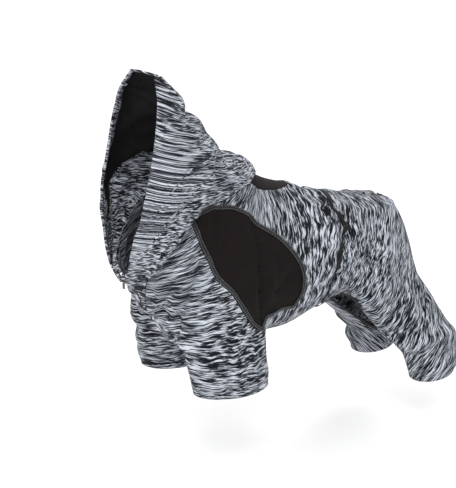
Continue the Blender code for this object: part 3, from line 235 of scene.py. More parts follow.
# folds: from one place on a guide line to another, width and height in metres, side -1 left 1 right 0 both
TRUNK_FOLDS = table("s0 t0 s1 t1 width height side",
    (0.86, 4, 0.885, 34, 0.009, -0.0035, 0), (0.82, 8, 0.85, 48, 0.011, 0.003, 0),
    (0.90, 30, 0.90, 75, 0.010, 0.003, -1), (0.88, 60, 0.85, 108, 0.012, 0.0025, 0),
    (0.70, 30, 0.74, 62, 0.013, 0.002, 0), (0.90, 88, 0.87, 118, 0.009, -0.002, 0),
    (0.42, 60, 0.66, 112, 0.012, 0.0025, -1), (0.60, 84, 0.66, 128, 0.010, 0.003, 0),
    (0.20, 60, 0.34, 98, 0.012, 0.002, 0), (0.70, 98, 0.62, 128, 0.008, -0.003, -1),
    (0.05, 70, 0.10, 100, 0.010, 0.002, 1))
FORE_FOLDS = table("s0 t0 s1 t1 width height side",
    (0.22, 110, 0.62, 195, 0.012, 0.004, 0), (0.30, 128, 0.66, 215, 0.009, -0.004, 0),
    (0.45, 90, 0.74, 190, 0.012, 0.0035, 0), (0.62, 205, 0.80, 150, 0.010, 0.0035, -1),
    (0.60, 60, 0.86, 140, 0.011, 0.003, 0), (0.80, 60, 0.90, 150, 0.010, 0.0025, 0),
    (0.70, 235, 0.78, 170, 0.009, -0.0035, 0), (0.90, 20, 0.96, 100, 0.010, 0.002, 0),
    (0.10, 120, 0.30, 165, 0.012, 0.002, 1))
HIND_FOLDS = table("s0 t0 s1 t1 width height side",
    (0.06, 20, 0.10, 80, 0.010, 0.004, 0), (0.14, 30, 0.18, 110, 0.010, -0.003, 0),
    (0.20, 10, 0.26, 70, 0.012, 0.003, 0), (0.26, 60, 0.44, 140, 0.013, 0.003, -1),
    (0.62, 150, 0.66, 40, 0.011, 0.004, 0), (0.70, 160, 0.74, 50, 0.009, -0.004, 0),
    (0.76, 150, 0.80, 30, 0.010, 0.0045, 0), (0.84, 140, 0.86, 20, 0.008, -0.003, 0),
    (0.90, 150, 0.92, 10, 0.009, 0.004, 0), (0.50, 30, 0.62, 100, 0.012, 0.003, 0))
HOOD_FOLDS = table("row0 col0 row1 col1 width height side",
    (0.16, 0.20, 0.30, 0.70, 0.013, 0.005, 0), (0.36, 0.05, 0.30, 0.55, 0.010, -0.006, 0),
    (0.46, 0.10, 0.36, 0.75, 0.014, 0.004, 0), (0.62, 0.10, 0.45, 0.80, 0.013, 0.003, -1),
    (0.74, 0.05, 0.60, 0.60, 0.010, -0.003, 0), (0.86, 0.10, 0.78, 0.70, 0.011, 0.0025, 0),
    (0.22, 0.75, 0.42, 0.95, 0.011, -0.003, 0))



# finer creases, in the same columns
TRUNK_CREASES = table("s0 t0 s1 t1 width height side",
    (0.909, 6, 0.925, 23, 0.005, -0.0045, 0), (0.925, 23, 0.965, 46, 0.005, -0.005, 0),
    (0.965, 46, 0.976, 64, 0.005, -0.005, 0), (0.976, 64, 0.955, 88, 0.005, -0.005, 0),
    (0.955, 88, 0.973, 117, 0.005, -0.005, 0), (0.973, 117, 0.972, 138, 0.005, -0.005, 0),
    (0.881, 9, 0.882, 34, 0.004, -0.003, 0), (0.882, 34, 0.888, 49, 0.004, -0.0015, 0),
    (0.902, 41, 0.92, 80, 0.007, 0.002, 0), (1.01, 42, 1.03, 84, 0.006, 0.0022, 0),
    (1.01, 83, 1.04, 126, 0.006, 0.002, 0), (0.857, 65, 0.846, 98, 0.006, 0.0015, 0),
    (0.814, 123, 0.889, 117, 0.0035, -0.0025, 0), (0.796, 134, 0.878, 128, 0.004, 0.0015, 0),
    (0.755, 85, 0.75, 113, 0.005, -0.0012, 0), (0.804, 83, 0.765, 108, 0.005, 0.0012, 0),
    (0.538, 25, 0.543, 48, 0.006, 0.0013, 0), (-0.0488, 31, 0.134, 45, 0.005, -0.0012, 0),
    (0.723, 25, 0.713, 50, 0.006, -0.001, 0), (0.792, 31, 0.789, 61, 0.007, 0.0012, 0),
    (-0.0936, 67, 0.0704, 93, 0.0032, -0.0024, 0), (-0.048, 64, 0.0722, 84, 0.004, 0.0012, 0),
    (-0.00255, 59, 0.131, 84, 0.0032, -0.0022, 0), (0.283, 45, 0.471, 64, 0.0034, -0.0026, 0),
    (0.471, 64, 0.511, 85, 0.0032, -0.003, 0), (0.135, 47, 0.312, 63, 0.005, 0.0016, 0),
    (0.511, 85, 0.552, 107, 0.003, -0.004, 0), (0.552, 107, 0.586, 129, 0.003, -0.0045, 0),
    (0.602, 108, 0.636, 128, 0.005, 0.0022, 0), (0.485, 96, 0.522, 120, 0.005, 0.0016, 0),
    (0.633, 76, 0.643, 109, 0.0032, -0.0026, 0), (0.669, 83, 0.681, 111, 0.004, 0.0016, 0),
    (0.519, 85, 0.646, 111, 0.003, -0.0026, 0), (0.646, 111, 0.687, 99, 0.0028, -0.002, 0),
    (0.646, 111, 0.684, 125, 0.003, -0.0016, 0), (0.2, 101, 0.353, 86, 0.0022, 0.0008, 0),
    (0.353, 86, 0.502, 85, 0.0022, 0.0009, 0), (0.502, 85, 0.611, 99, 0.0022, 0.0009, 0))
FORE_CREASES = table("s0 t0 s1 t1 width height side",
    (0.0601, 101, 0.214, 128, 0.004, -0.003, 0), (0.214, 128, 0.319, 142, 0.004, -0.004, 0),
    (0.319, 142, 0.476, 163, 0.004, -0.005, 0), (0.476, 163, 0.583, 177, 0.004, -0.0055, 0),
    (0.583, 177, 0.689, 184, 0.004, -0.004, 0), (0.234, 119, 0.436, 146, 0.006, 0.0026, 0),
    (0.309, 153, 0.496, 178, 0.006, 0.0028, 0), (0.285, 174, 0.485, 191, 0.005, 0.002, 0),
    (0.112, 160, 0.295, 177, 0.004, -0.0022, 0), (0.354, 167, 0.572, 198, 0.004, -0.0026, 0),
    (0.49, 200, 0.608, 194, 0.003, -0.0026, 0), (0.39, 189, 0.56, 180, 0.0035, -0.0026, 0),
    (0.576, 201, 0.634, 178, 0.0032, -0.003, 0), (0.598, 207, 0.685, 194, 0.004, 0.002, 0),
    (0.676, 209, 0.69, 176, 0.0035, -0.0022, 0), (0.717, 169, 0.686, 126, 0.006, 0.0024, 0),
    (0.686, 126, 0.706, 38, 0.006, 0.0018, 0), (0.765, 174, 0.726, 112, 0.005, -0.0016, 0),
    (0.822, 175, 0.756, 101, 0.007, 0.0022, 0), (0.753, 91, 0.761, 33, 0.005, -0.0016, 0),
    (0.925, 171, 0.827, 96, 0.007, 0.0018, 0), (0.493, 127, 0.65, 80, 0.006, 0.0018, 0),
    (0.555, 140, 0.687, 105, 0.005, -0.0018, 0), (0.456, 103, 0.651, 52, 0.005, 0.0015, 0),
    (0.601, 161, 0.717, 140, 0.005, 0.0022, 0), (0.864, 88, 0.855, 33, 0.005, 0.0015, 0),
    (0.799, 194, 0.84, 225, 0.004, -0.0024, 1), (0.748, 243, 0.767, 232, 0.004, 0.0022, 0),
    (0.883, 194, 0.908, 238, 0.005, 0.0018, 1), (0.839, 249, 0.75, 183, 0.0035, -0.0026, 0),
    (0.973, 204, 0.967, 251, 0.005, 0.0016, 1))
HIND_CREASES = table("s0 t0 s1 t1 width height side",
    (0.553, 148, 0.53, 119, 0.0035, -0.0034, 0), (0.48, 131, 0.514, 105, 0.0035, -0.003, 0),
    (0.585, 143, 0.587, 118, 0.005, 0.0026, 0), (0.514, 105, 0.513, 81, 0.0035, -0.0022, 0),
    (0.357, 132, 0.39, 109, 0.005, 0.0018, 0), (0.621, 38, 0.642, 76, 0.004, -0.0036, 0),
    (0.642, 76, 0.664, 108, 0.004, -0.0046, 0), (0.664, 108, 0.698, 158, 0.004, -0.0044, 0),
    (0.572, 51, 0.658, 53, 0.005, 0.0026, 0), (0.542, 86, 0.61, 104, 0.006, 0.0026, 0),
    (0.757, 168, 0.699, 120, 0.0036, -0.0032, 0), (0.699, 120, 0.68, 85, 0.0036, -0.0024, 0),
    (0.729, 168, 0.678, 126, 0.004, 0.0024, 0), (0.854, 170, 0.781, 115, 0.004, -0.003, 0),
    (0.781, 115, 0.799, 53, 0.004, -0.0024, 0), (0.885, 163, 0.841, 106, 0.004, 0.0022, 0),
    (0.841, 106, 0.838, 58, 0.004, 0.002, 0), (0.915, 140, 0.881, 81, 0.0035, -0.0018, 0),
    (0.697, 87, 0.759, 81, 0.006, 0.002, 0), (0.243, 7, 0.304, 24, 0.005, 0.0014, 0),
    (0.36, 28, 0.454, 45, 0.005, 0.0016, 0), (0.139, 19, 0.201, 60, 0.007, 0.0018, 0),
    (0.0798, 38, 0.136, 88, 0.006, -0.0014, 0), (0.225, 57, 0.389, 101, 0.007, 0.0016, 0),
    (0.183, 100, 0.283, 132, 0.006, -0.0012, 0), (0.338, 62, 0.489, 89, 0.005, -0.0014, 0),
    (0.231, 348, 0.219, 366, 0.004, -0.0022, 0), (0.158, 354, 0.142, 373, 0.004, 0.0016, 0))
HOOD_CREASES = table("row0 col0 row1 col1 width height side",
    (0.19, 0.73, 0.19, 0.58, 0.004, -0.004, 0), (0.19, 0.58, 0.15, 0.45, 0.004, -0.004, 0),
    (0.15, 0.45, 0.17, 0.32, 0.0035, -0.004, 0), (0.09, 0.67, 0.09, 0.52, 0.006, 0.0025, 0),
    (0.22, 0.70, 0.24, 0.57, 0.006, 0.0022, 0), (0.45, 0.12, 0.38, 0.25, 0.003, -0.005, 0),
    (0.38, 0.25, 0.24, 0.40, 0.003, -0.006, 0), (0.32, 0.18, 0.24, 0.40, 0.003, -0.0035, 0),
    (0.24, 0.40, 0.30, 0.45, 0.0035, -0.003, 0), (0.30, 0.45, 0.41, 0.53, 0.004, -0.002, 0),
    (0.41, 0.10, 0.33, 0.05, 0.003, -0.0025, 0), (0.30, 0.03, 0.24, 0.17, 0.004, 0.0022, 0),
    (0.24, 0.33, 0.24, 0.22, 0.004, 0.0025, 0), (0.25, 0.50, 0.20, 0.37, 0.004, 0.0022, 0),
    (0.50, 0.67, 0.28, 0.48, 0.005, 0.0018, 0), (0.58, 0.63, 0.43, 0.45, 0.005, -0.0015, 0),
    (0.90, 0.93, 0.87, 0.67, 0.003, -0.0025, 0), (0.92, 0.72, 0.85, 0.57, 0.003, -0.0025, 0),
    (0.82, 0.67, 0.69, 0.05, 0.0035, -0.003, 0), (0.84, 0.88, 0.74, 0.55, 0.005, 0.002, 0),
    (0.72, 0.50, 0.56, 0.23, 0.004, -0.0018, 0), (0.69, 0.63, 0.48, 0.30, 0.005, 0.0016, 0),
    (0.80, 0.97, 0.74, 0.73, 0.004, -0.0014, 0), (0.72, 0.95, 0.61, 0.65, 0.005, 0.0012, 0),
    (0.63, 0.93, 0.50, 0.70, 0.004, 0.0012, 0), (0.50, 0.93, 0.41, 0.77, 0.004, -0.0014, 0),
    (0.40, 0.93, 0.35, 0.78, 0.004, 0.0012, 0), (0.30, 0.92, 0.25, 0.80, 0.004, -0.0012, 0))


def curve(x, xs, ys):
    """Smooth curve through the rows of a table, never past its neighbours."""
    x = np.clip(x, xs[0], xs[-1])
    h = np.diff(xs)
    d = np.diff(ys)/h
    m = np.zeros_like(ys)
    same = d[:-1]*d[1:] > 0
    m[1:-1] = np.where(same, 2*d[:-1]*d[1:]/np.where(same, d[:-1]+d[1:], 1), 0)
    m[0], m[-1] = d[0], d[-1]
    i = np.clip(np.searchsorted(xs, x, side="right")-1, 0, len(xs)-2)
    t = (x-xs[i])/h[i]
    a = (2*t**3-3*t**2+1)*ys[i] + (t**3-2*t**2+t)*h[i]*m[i]
    return a + (-2*t**3+3*t**2)*ys[i+1] + (t**3-t**2)*h[i]*m[i+1]


def at(t, key, column, x):
    return curve(x, t[key], t[column])


def sized(t, **sizes):
    """A table's shares turned into metres."""
    return {n: v*sizes.get(n, 1.0) for n, v in t.items()}


def limb_sizes(t):
    return sized(t, z=BODY_DEPTH, x=BODY_LENGTH, y=BODY_WIDTH, half_length=BODY_LENGTH, half_width=BODY_WIDTH)


def point_sizes(t):
    return sized(t, x=BODY_LENGTH, y=BODY_WIDTH, z=BODY_DEPTH)


TRUNK = sized(TORSO, x=BODY_LENGTH, top=BODY_DEPTH, bottom=BODY_DEPTH, half_width=BODY_WIDTH)
COLLAR = sized(NECK, q=BODY_LENGTH, shift=BODY_LENGTH, half_length=BODY_LENGTH, half_width=BODY_WIDTH)
FORE = limb_sizes(FORELEG)
HIND = limb_sizes(HINDLEG)
RUMP = limb_sizes(SEAT)
SPINE_M = point_sizes(SPINE)
FORE_M = point_sizes(FORE_LINE)
HIND_M = point_sizes(HIND_LINE)
NECK_UP = np.array([-0.53, 0, 0.848])
NECK_BACKWARD = np.array([0.848, 0, 0.53])
NECK_FOOT = np.array([-0.409*BODY_LENGTH, 0, -0.054*BODY_DEPTH])


def oval(a, b, p, q):
    return (np.sqrt((p/a)**2 + (q/b)**2)-1)*np.minimum(a, b)


def trunk(p):
    x, y, z = p[..., 0], p[..., 1], p[..., 2]
    top, bottom, w = (at(TRUNK, "x", c, x) for c in ("top", "bottom", "half_width"))
    mid = 0.45*top + 0.55*bottom
    f = oval(w, np.where(z > mid, top-mid, mid-bottom), y, z-mid)
    return np.maximum(f, np.maximum(x-TRUNK["x"][-1], TRUNK["x"][0]-x))


def collar(p):
    r = p-NECK_FOOT
    q = r @ NECK_UP
    a = at(COLLAR, "q", "half_length", q)
    f = oval(a, at(COLLAR, "q", "half_width", q), r @ NECK_BACKWARD-at(COLLAR, "q", "shift", q), p[..., 1])
    return np.maximum(f, np.maximum(q-COLLAR["q"][-1], COLLAR["q"][0]-q))


def limb(p, t):
    z = p[..., 2]
    across = np.abs(p[..., 1])+at(t, "z", "y", z)
    f = oval(at(t, "z", "half_length", z), at(t, "z", "half_width", z), p[..., 0]-at(t, "z", "x", z), across)
    return np.maximum(f, np.maximum(z-t["z"][-1], t["z"][0]-z))


def blend(a, b, k):
    h = np.clip(0.5+0.5*(b-a)/k, 0, 1)
    return b*(1-h)+a*h-k*h*(1-h)


def field(p):
    """Below nought inside the dressed body, above nought outside."""
    f = blend(trunk(p), collar(p), 0.070*BODY_LENGTH)
    f = blend(f, limb(p, FORE), 0.051*BODY_LENGTH)
    f = blend(f, limb(p, HIND), 0.056*BODY_LENGTH)
    return blend(f, limb(p, RUMP), 0.037*BODY_LENGTH)


def normals(p, h=0.0005):
    g = np.stack([field(p+h*e)-field(p-h*e) for e in np.eye(3)], -1)
    return g/np.maximum(np.linalg.norm(g, axis=-1, keepdims=True), 1e-9)


def cast(o, d, steps=110):
    """Where rays from inside leave the body."""
    o, d = np.broadcast_arrays(np.asarray(o, float), np.asarray(d, float))
    d = d/np.linalg.norm(d, axis=-1, keepdims=True)
    rs = np.linspace(0, 0.6*BODY_LENGTH, steps+1)
    lo = np.zeros(o.shape[:-1])
    hi = np.full(o.shape[:-1], rs[-1])
    done = np.zeros(o.shape[:-1], bool)
    before = field(o)
    for r0, r1 in zip(rs[:-1], rs[1:]):
        f = field(o+r1*d)
        hit = (~done) & (before < 0) & (f >= 0)
        lo[hit], hi[hit] = r0, r1
        done |= hit
        before = f
    for _ in range(22):
        mid = 0.5*(lo+hi)
        inside = field(o+mid[..., None]*d) < 0
        lo = np.where(inside, mid, lo)
        hi = np.where(inside, hi, mid)
    return o+(0.5*(lo+hi))[..., None]*d


def snap(p):
    p = np.array(p, float)
    for _ in range(14):
        p = p-0.9*field(p)[..., None]*normals(p)
    return p


def axes_at(g, s):
    """Centre, up and onward directions of a guide line."""
    o = np.stack([at(g, "s", c, s) for c in "xyz"], -1)
    k = np.radians(at(g, "s", "tilt", s))
    up = np.stack([np.sin(k), 0*k, np.cos(k)], -1)
    onward = np.stack([np.cos(k), 0*k, -np.sin(k)], -1)
    return o, up, onward


def place(g, s, t):
    """Surface point at share s of a guide line and t degrees round it."""
    s, t = np.broadcast_arrays(np.asarray(s, float), np.asarray(t, float))
    o, up, _ = axes_at(g, s)
    r = np.radians(t)[..., None]
    return cast(o, np.cos(r)*up+np.sin(r)*np.array([0, -1.0, 0]))


def locate(g, p):
    """Share and angle of surface points, the other way round from place."""
    p = np.asarray(p, float)
    ss = np.linspace(g["s"][0], g["s"][-1], 401)
    o, _, onward = axes_at(g, ss)
    d = np.einsum("...kj,kj->...k", p[..., None, :]-o, onward)
    away = np.linalg.norm(p[..., None, :]-o, axis=-1)
    cross = (d[..., :-1] >= 0) & (d[..., 1:] < 0)
    i = np.argmin(np.where(cross, away[..., :-1], 1e9), -1)
    none = ~cross.any(-1)
    i = np.where(none, np.where(d[..., 0] < 0, 0, len(ss)-2), i)
    a = np.take_along_axis(d, i[..., None], -1)[..., 0]
    b = np.take_along_axis(d, (i+1)[..., None], -1)[..., 0]
    s = ss[i]+np.where(none, 0.0, a/np.where(none, 1.0, a-b))*(ss[1]-ss[0])
    o, up, _ = axes_at(g, s)
    r = p-o
    return s, np.degrees(np.arctan2(-r[..., 1], np.sum(r*up, -1)))


def on_trunk(t):
    """A seam from a table of shares and angles."""
    u = np.hypot(np.diff(t["s"])*0.33, np.diff(t["t"])*0.0028)
    u = np.concatenate([[0], np.cumsum(u)])
    w = np.linspace(0, u[-1], 61)
    return place(SPINE_M, curve(w, u, t["s"]), curve(w, u, t["t"]))


def on_body(t, first=None, last=None):
    """A seam through a table of places, drawn onto the body."""
    k = np.stack([v for v in point_sizes(t).values()], -1)
    if first is not None:
        k = np.vstack([first, k])
    if last is not None:
        k = np.vstack([k, last])
    u = np.concatenate([[0], np.cumsum(np.linalg.norm(np.diff(k, axis=0), axis=1))])
    w = np.linspace(0, u[-1], 61)
    line = snap(np.stack([curve(w, u, k[:, i]) for i in range(3)], -1))
    if first is not None:
        line[0] = first
    if last is not None:
        line[-1] = last
    return line


def spaced(line, n):
    d = np.concatenate([[0], np.cumsum(np.linalg.norm(np.diff(line, axis=0), axis=1))])
    r = np.linspace(0, d[-1], n+1)
    return np.stack([np.interp(r, d, line[:, i]) for i in range(3)], -1)


def joined(*lines):
    return np.concatenate([lines[0]]+[k[1:] for k in lines[1:]])




def all_seams():
    """The left side's seams, named after the pieces on both sides."""
    s = {n: on_trunk(t) for n, t in (
        ("neck_chest", NECK_CHEST), ("neck_sleeve", NECK_SLEEVE), ("neck_panel", NECK_PANEL),
        ("neck_back", NECK_BACK), ("neck_leaf", NECK_LEAF), ("rear_raglan", REAR_RAGLAN),
        ("panel_rear", PANEL_REAR), ("leaf", LEAF_EDGE), ("top", TOP_LINE), ("waist", WAIST),
        ("waist_low", WAIST_LOW), ("hem", BELLY_HEM), ("belly_panel", BELLY_PANEL),
        ("belly_back", BELLY_BACK), ("front_raglan", FRONT_RAGLAN), ("belly_centre", BELLY_CENTRE))}
    corner, start = s["front_raglan"][-1], s["belly_centre"][0]
    foot = start+(corner-start)*0.5*ZIP_OPENING/abs(corner[1])
    s["zip"] = on_body(ZIP_LINE, last=foot)
    s["zip"][:, 1] = -0.5*ZIP_OPENING
    s["neck_chest"][-1] = s["zip"][0]
    s["arm_front"] = on_body(ARM_FRONT, first=s["front_raglan"][-1])
    s["arm_rear"] = on_body(ARM_REAR, last=s["rear_raglan"][-1])
    s["arm_rear"][0] = s["arm_front"][-1]
    s["arm_in"] = on_body(ARM_IN, first=None)
    s["arm_in"][0] = s["arm_front"][-1]
    s["cut"] = on_body(CUT, first=s["waist_low"][-1])
    s["rise_top"] = on_body(RISE_TOP, first=s["waist"][0])
    s["rise_tail"] = on_body(RISE_TAIL)
    s["rise_low"] = on_body(RISE_LOW)
    s["leg_in"] = on_body(LEG_IN)
    for n in ("rise_top", "rise_tail", "rise_low", "leg_in", "cut"):
        s[n][:, 1] = np.minimum(s[n][:, 1], -0.6*SEAM_GAP)
    for n in ("leaf", "top", "belly_centre"):
        s[n][-1, 1] = 0
    s["top"][:, 1] = 0
    s["belly_centre"][:, 1] = 0
    s["neck_leaf"][0, 1] = 0
    s["hem"][-1] = s["belly_centre"][-1]
    s["rise_tail"][0] = s["rise_top"][-1]
    s["rise_low"][0] = s["rise_tail"][-1]
    s["rise_low"][-1] = s["cut"][-1]
    s["leg_in"][0] = s["cut"][-1]
    return s


def count(line, step):
    d = np.linalg.norm(np.diff(line, axis=0), axis=1).sum()
    return max(2, int(round(d/step)))


def patch(g, left, right, top, bottom):
    """A grid of surface points between four seams, left at the larger angle round the guide."""
    n, m = len(left)-1, len(top)-1
    (sl, tl), (sr, tr) = locate(g, left), locate(g, right)
    tl = tl % 360
    (st, tt), (sb, tb) = locate(g, top), locate(g, bottom)
    for t, start in ((tt, tl[0]), (tb, tl[-1])):
        t[0] = start
        for k in range(1, len(t)):
            t[k] += 360*np.round((t[k-1]-t[k])/360)
    tr = tr.copy()
    tr[0] = tt[-1]
    for k in range(1, len(tr)):
        tr[k] += 360*np.round((tr[k-1]-tr[k])/360)
    u = np.linspace(0, 1, m+1)[None, :]
    v = np.linspace(0, 1, n+1)[:, None]

    def fill(a, b, c, d):
        edge = (1-u)*a[:, None]+u*b[:, None]+(1-v)*c[None, :]+v*d[None, :]
        return edge-((1-u)*(1-v)*a[0]+u*(1-v)*b[0]+(1-u)*v*a[-1]+u*v*b[-1])
    tb = tb+(tr[-1]-tb[-1])*np.linspace(0, 1, m+1)
    grid = place(g, fill(sl, sr, st, sb), fill(tl, tr, tt, tb))
    grid[:, 0], grid[:, -1], grid[0], grid[-1] = left, right, top, bottom
    return grid


def flat_patch(left, right, top, bottom):
    """A grid between four seams, drawn onto the body."""
    n, m = len(left)-1, len(top)-1
    u = np.linspace(0, 1, m+1)[None, :, None]
    v = np.linspace(0, 1, n+1)[:, None, None]
    grid = (1-u)*left[:, None]+u*right[:, None]+(1-v)*top[None]+v*bottom[None]
    grid = grid-((1-u)*(1-v)*left[0]+u*(1-v)*right[0]+(1-u)*v*left[-1]+u*v*right[-1])
    grid = snap(grid)
    grid[:, 0], grid[:, -1], grid[0], grid[-1] = left, right, top, bottom
    return grid


def pulled_in(grid, left=0, right=0, top=0, bottom=0):
    """Draw edges in from their seams: left and right in rows, top and bottom as shares of the gap."""
    g = grid.copy()

    def move(edge, inner, share):
        along = np.gradient(edge, axis=0)
        side = np.cross(normals(edge), along)
        side = side/np.maximum(np.linalg.norm(side, axis=-1, keepdims=True), 1e-9)
        share = np.broadcast_to(share, len(edge))[:, None]
        return share*SEAM_GAP*side*np.sign(np.sum(side*(inner-edge)))

    if left:
        g[:left, 0] += move(grid[:, 0], grid[:, 1], 1.0)[:left]
    if right:
        g[:right, -1] += move(grid[:, -1], grid[:, -2], 1.0)[:right]
    g[0] += move(grid[0], grid[1], top)
    g[-1] += move(grid[-1], grid[-2], bottom)
    return g


def fold_lines():
    """Each fold as a short line of surface points with its width and height."""
    out = []
    for t, g in ((TRUNK_FOLDS, SPINE_M), (FORE_FOLDS, FORE_M), (HIND_FOLDS, HIND_M),
                 (TRUNK_CREASES, SPINE_M), (FORE_CREASES, FORE_M), (HIND_CREASES, HIND_M)):
        for k in range(len(t["s0"])):
            u = np.linspace(0, 1, 9)
            line = place(g, t["s0"][k]+(t["s1"][k]-t["s0"][k])*u, t["t0"][k]+(t["t1"][k]-t["t0"][k])*u)
            for side in (-1, 1):
                if t["side"][k] in (0, side):
                    out.append((line*np.array([1, -side, 1]), t["width"][k], t["height"][k]))
    return out


def line_distance(p, line):
    best = np.full(p.shape[:-1], 1e9)
    for a, b in zip(line[:-1], line[1:]):
        ab = b-a
        u = np.clip(((p-a) @ ab)/max(ab @ ab, 1e-12), 0, 1)
        best = np.minimum(best, np.linalg.norm(p-(a+u[..., None]*ab), axis=-1))
    return best


def bumps(p, lines):
    """Height that fold lines give to points, each worked out only near its line."""
    flat = p.reshape(-1, 3)
    h = np.zeros(len(flat))
    for line, width, height in lines:
        near = np.all((flat > line.min(0)-3*width) & (flat < line.max(0)+3*width), axis=1)
        if near.any():
            h[near] += height*np.exp(-(line_distance(flat[near], line)/width)**2)
    return h.reshape(p.shape[:-1])


def relief(p):
    """Height of folds and of the drawn-in waist over the body."""
    h = bumps(p, FOLDS)
    away = line_distance(np.stack([p[..., 0], -np.abs(p[..., 1]), p[..., 2]], -1), SEAMS_WAIST)
    angle = np.arctan2(p[..., 1], p[..., 2]+0.4*BODY_DEPTH)
    gather = 0.0016*np.sin(11*angle)*np.exp(-((away-0.016)/0.010)**2)
    fine = 0.0006*np.sin(41*angle+2*np.sin(7*angle))*np.exp(-((away-0.007)/0.005)**2)
    return h-0.0030*np.exp(-(away/0.009)**2)+gather+fine


def welded(grids):
    """One list of points for several grids, with shared places made one."""
    keys, index, at_grid = {}, [], []
    for k, g in enumerate(grids):
        cells = np.round(g*20000).astype(int)
        ids = np.empty(g.shape[:2], int)
        for i in range(g.shape[0]):
            for j in range(g.shape[1]):
                key = tuple(cells[i, j])
                if key not in keys:
                    keys[key] = len(at_grid)
                    at_grid.append((k, i, j))
                ids[i, j] = keys[key]
        index.append(ids)
    return index, at_grid


def step_in(edge, inner, width):
    d = inner-edge
    length = np.maximum(np.linalg.norm(d, axis=-1, keepdims=True), 1e-9)
    return edge+d*np.minimum(width/length, 0.9)


def body_pieces(step):
    """Left-side grids of every piece that lies on the body."""
    s = SEAMS
    k = {n: count(v, step) for n, v in s.items()}
    k["arm_rear"] = max(3, k["arm_rear"])
    k["front_raglan"] = k["rear_raglan"]+k["arm_rear"]-k["arm_front"]
    rise = k["rise_top"]+k["rise_tail"]+k["rise_low"]
    k["cut"] = rise
    sp = {n: spaced(v, k[n]) for n, v in s.items()}
    out = {"counts": k}
    m = m_low = max(k["neck_panel"], k["belly_panel"])
    n = k["rear_raglan"]
    out["side_panel"] = patch(SPINE_M, sp["rear_raglan"], spaced(s["panel_rear"], n),
                              spaced(s["neck_panel"], m)[::-1], spaced(s["belly_panel"], m))
    edge = spaced(s["panel_rear"], n)
    turn = int(round(0.62*n))
    low = n-turn
    across = max(3, k["waist"]-low)
    k["waist"] = low+across
    s5, t5 = locate(SPINE_M, edge[turn])
    u = np.linspace(0, 1, across+1)
    cut = place(SPINE_M, s5+(LEAF_EDGE["s"][-1]-s5)*u, t5*(1-u))
    leaf = spaced(s["leaf"], turn)
    cut[0], cut[-1] = edge[turn], leaf[-1]
    waist = spaced(s["waist"], k["waist"])
    out["back_rear"] = patch(SPINE_M, sp["belly_back"], spaced(s["top"], k["belly_back"]),
                             joined(edge[turn:][::-1], cut), waist[::-1])
    out["back_front"] = patch(SPINE_M, edge[:turn+1], leaf, spaced(s["neck_back"], across)[::-1], cut)
    m2 = k["neck_leaf"]
    tip = leaf[-1]
    leaf = leaf[:-1]
    ends = spaced(s["neck_leaf"], m2)[::-1]
    line = snap(np.linspace(0, 1, turn)[:, None]*(tip-ends[-1])*0.97+ends[-1])
    line[:, 1] = 0
    last = np.linspace(0, 1, m2+1)[:, None]*(line[-1]-leaf[-1])+leaf[-1]
    out["back_panel"] = patch(SPINE_M, leaf, line, ends, snap(last))
    mid = 2
    k["hem"] = mid+k["arm_rear"]-k["waist_low"]
    side = joined(spaced(s["belly_panel"], m_low), sp["belly_back"])
    centre = spaced(s["belly_centre"], 200)
    cross = 80
    leg = sp["arm_front"][-1]
    bridge = snap(np.linspace(0, 1, mid+1)[:, None]*(leg-centre[cross])+centre[cross])
    bridge[0], bridge[-1] = centre[cross], leg
    bridge[-1] = snap(leg+0.0010*(centre[cross]-leg)/np.linalg.norm(centre[cross]-leg))
    rear = sp["arm_rear"].copy()
    rear[0] = bridge[-1]
    out["belly_rear"] = flat_patch(spaced(centre[cross:], len(side)-1), side, joined(bridge, rear),
                                   joined(spaced(s["hem"], k["hem"])[::-1], sp["waist_low"][::-1]))
    front = sp["arm_front"].copy()
    front[-1] = bridge[-1]
    first = front[0]
    start = snap(np.linspace(0, 1, mid+1)[:, None]*(first-centre[0])+centre[0])
    start[0], start[-1] = centre[0], first
    out["belly_front"] = flat_patch(spaced(centre[:cross+1], k["arm_front"]), front, start, bridge)
    out["bridge"] = mid
    n = k["front_raglan"]
    m = k["neck_chest"]
    zip_edge = spaced(s["zip"], n)
    foot = np.linspace(0, 1, m+1)[:, None]*(first-zip_edge[-1])+zip_edge[-1]
    foot[1:-1] = snap(foot[1:-1])
    out["chest"] = patch(SPINE_M, zip_edge, sp["front_raglan"], sp["neck_chest"][::-1], foot)
    around = 2*np.pi*0.3*BODY_WIDTH/step
    m = int(round(around*1.05))
    left = joined(sp["front_raglan"], sp["arm_front"], sp["arm_in"])
    right = joined(sp["rear_raglan"], sp["arm_rear"][::-1], sp["arm_in"])
    sh, _ = locate(FORE_M, sp["arm_in"][-1])
    hem = place(FORE_M, sh, np.linspace(270, -90, m+1)+(locate(FORE_M, sp["arm_in"][-1])[1] % 360-270))
    hem[0] = hem[-1] = sp["arm_in"][-1]
    out["sleeve"] = patch(FORE_M, left, right, spaced(s["neck_sleeve"], m)[::-1], hem)
    out["sleeve_split"] = k["front_raglan"]+k["arm_front"]
    m = k["waist"]+k["waist_low"]
    left = joined(sp["cut"], sp["leg_in"])
    right = joined(sp["rise_top"], sp["rise_tail"], sp["rise_low"], sp["leg_in"])
    sh, th = locate(HIND_M, sp["leg_in"][-1])
    hem = place(HIND_M, sh, np.linspace(th % 360, th % 360-360, m+1))
    hem[0] = hem[-1] = sp["leg_in"][-1]
    out["hind"] = patch(HIND_M, left, right, joined(sp["waist_low"][::-1], waist[::-1]), hem)
    out["hind_split"] = rise
    out["tail_rows"] = (k["rise_top"], k["rise_top"]+k["rise_tail"])
    return out


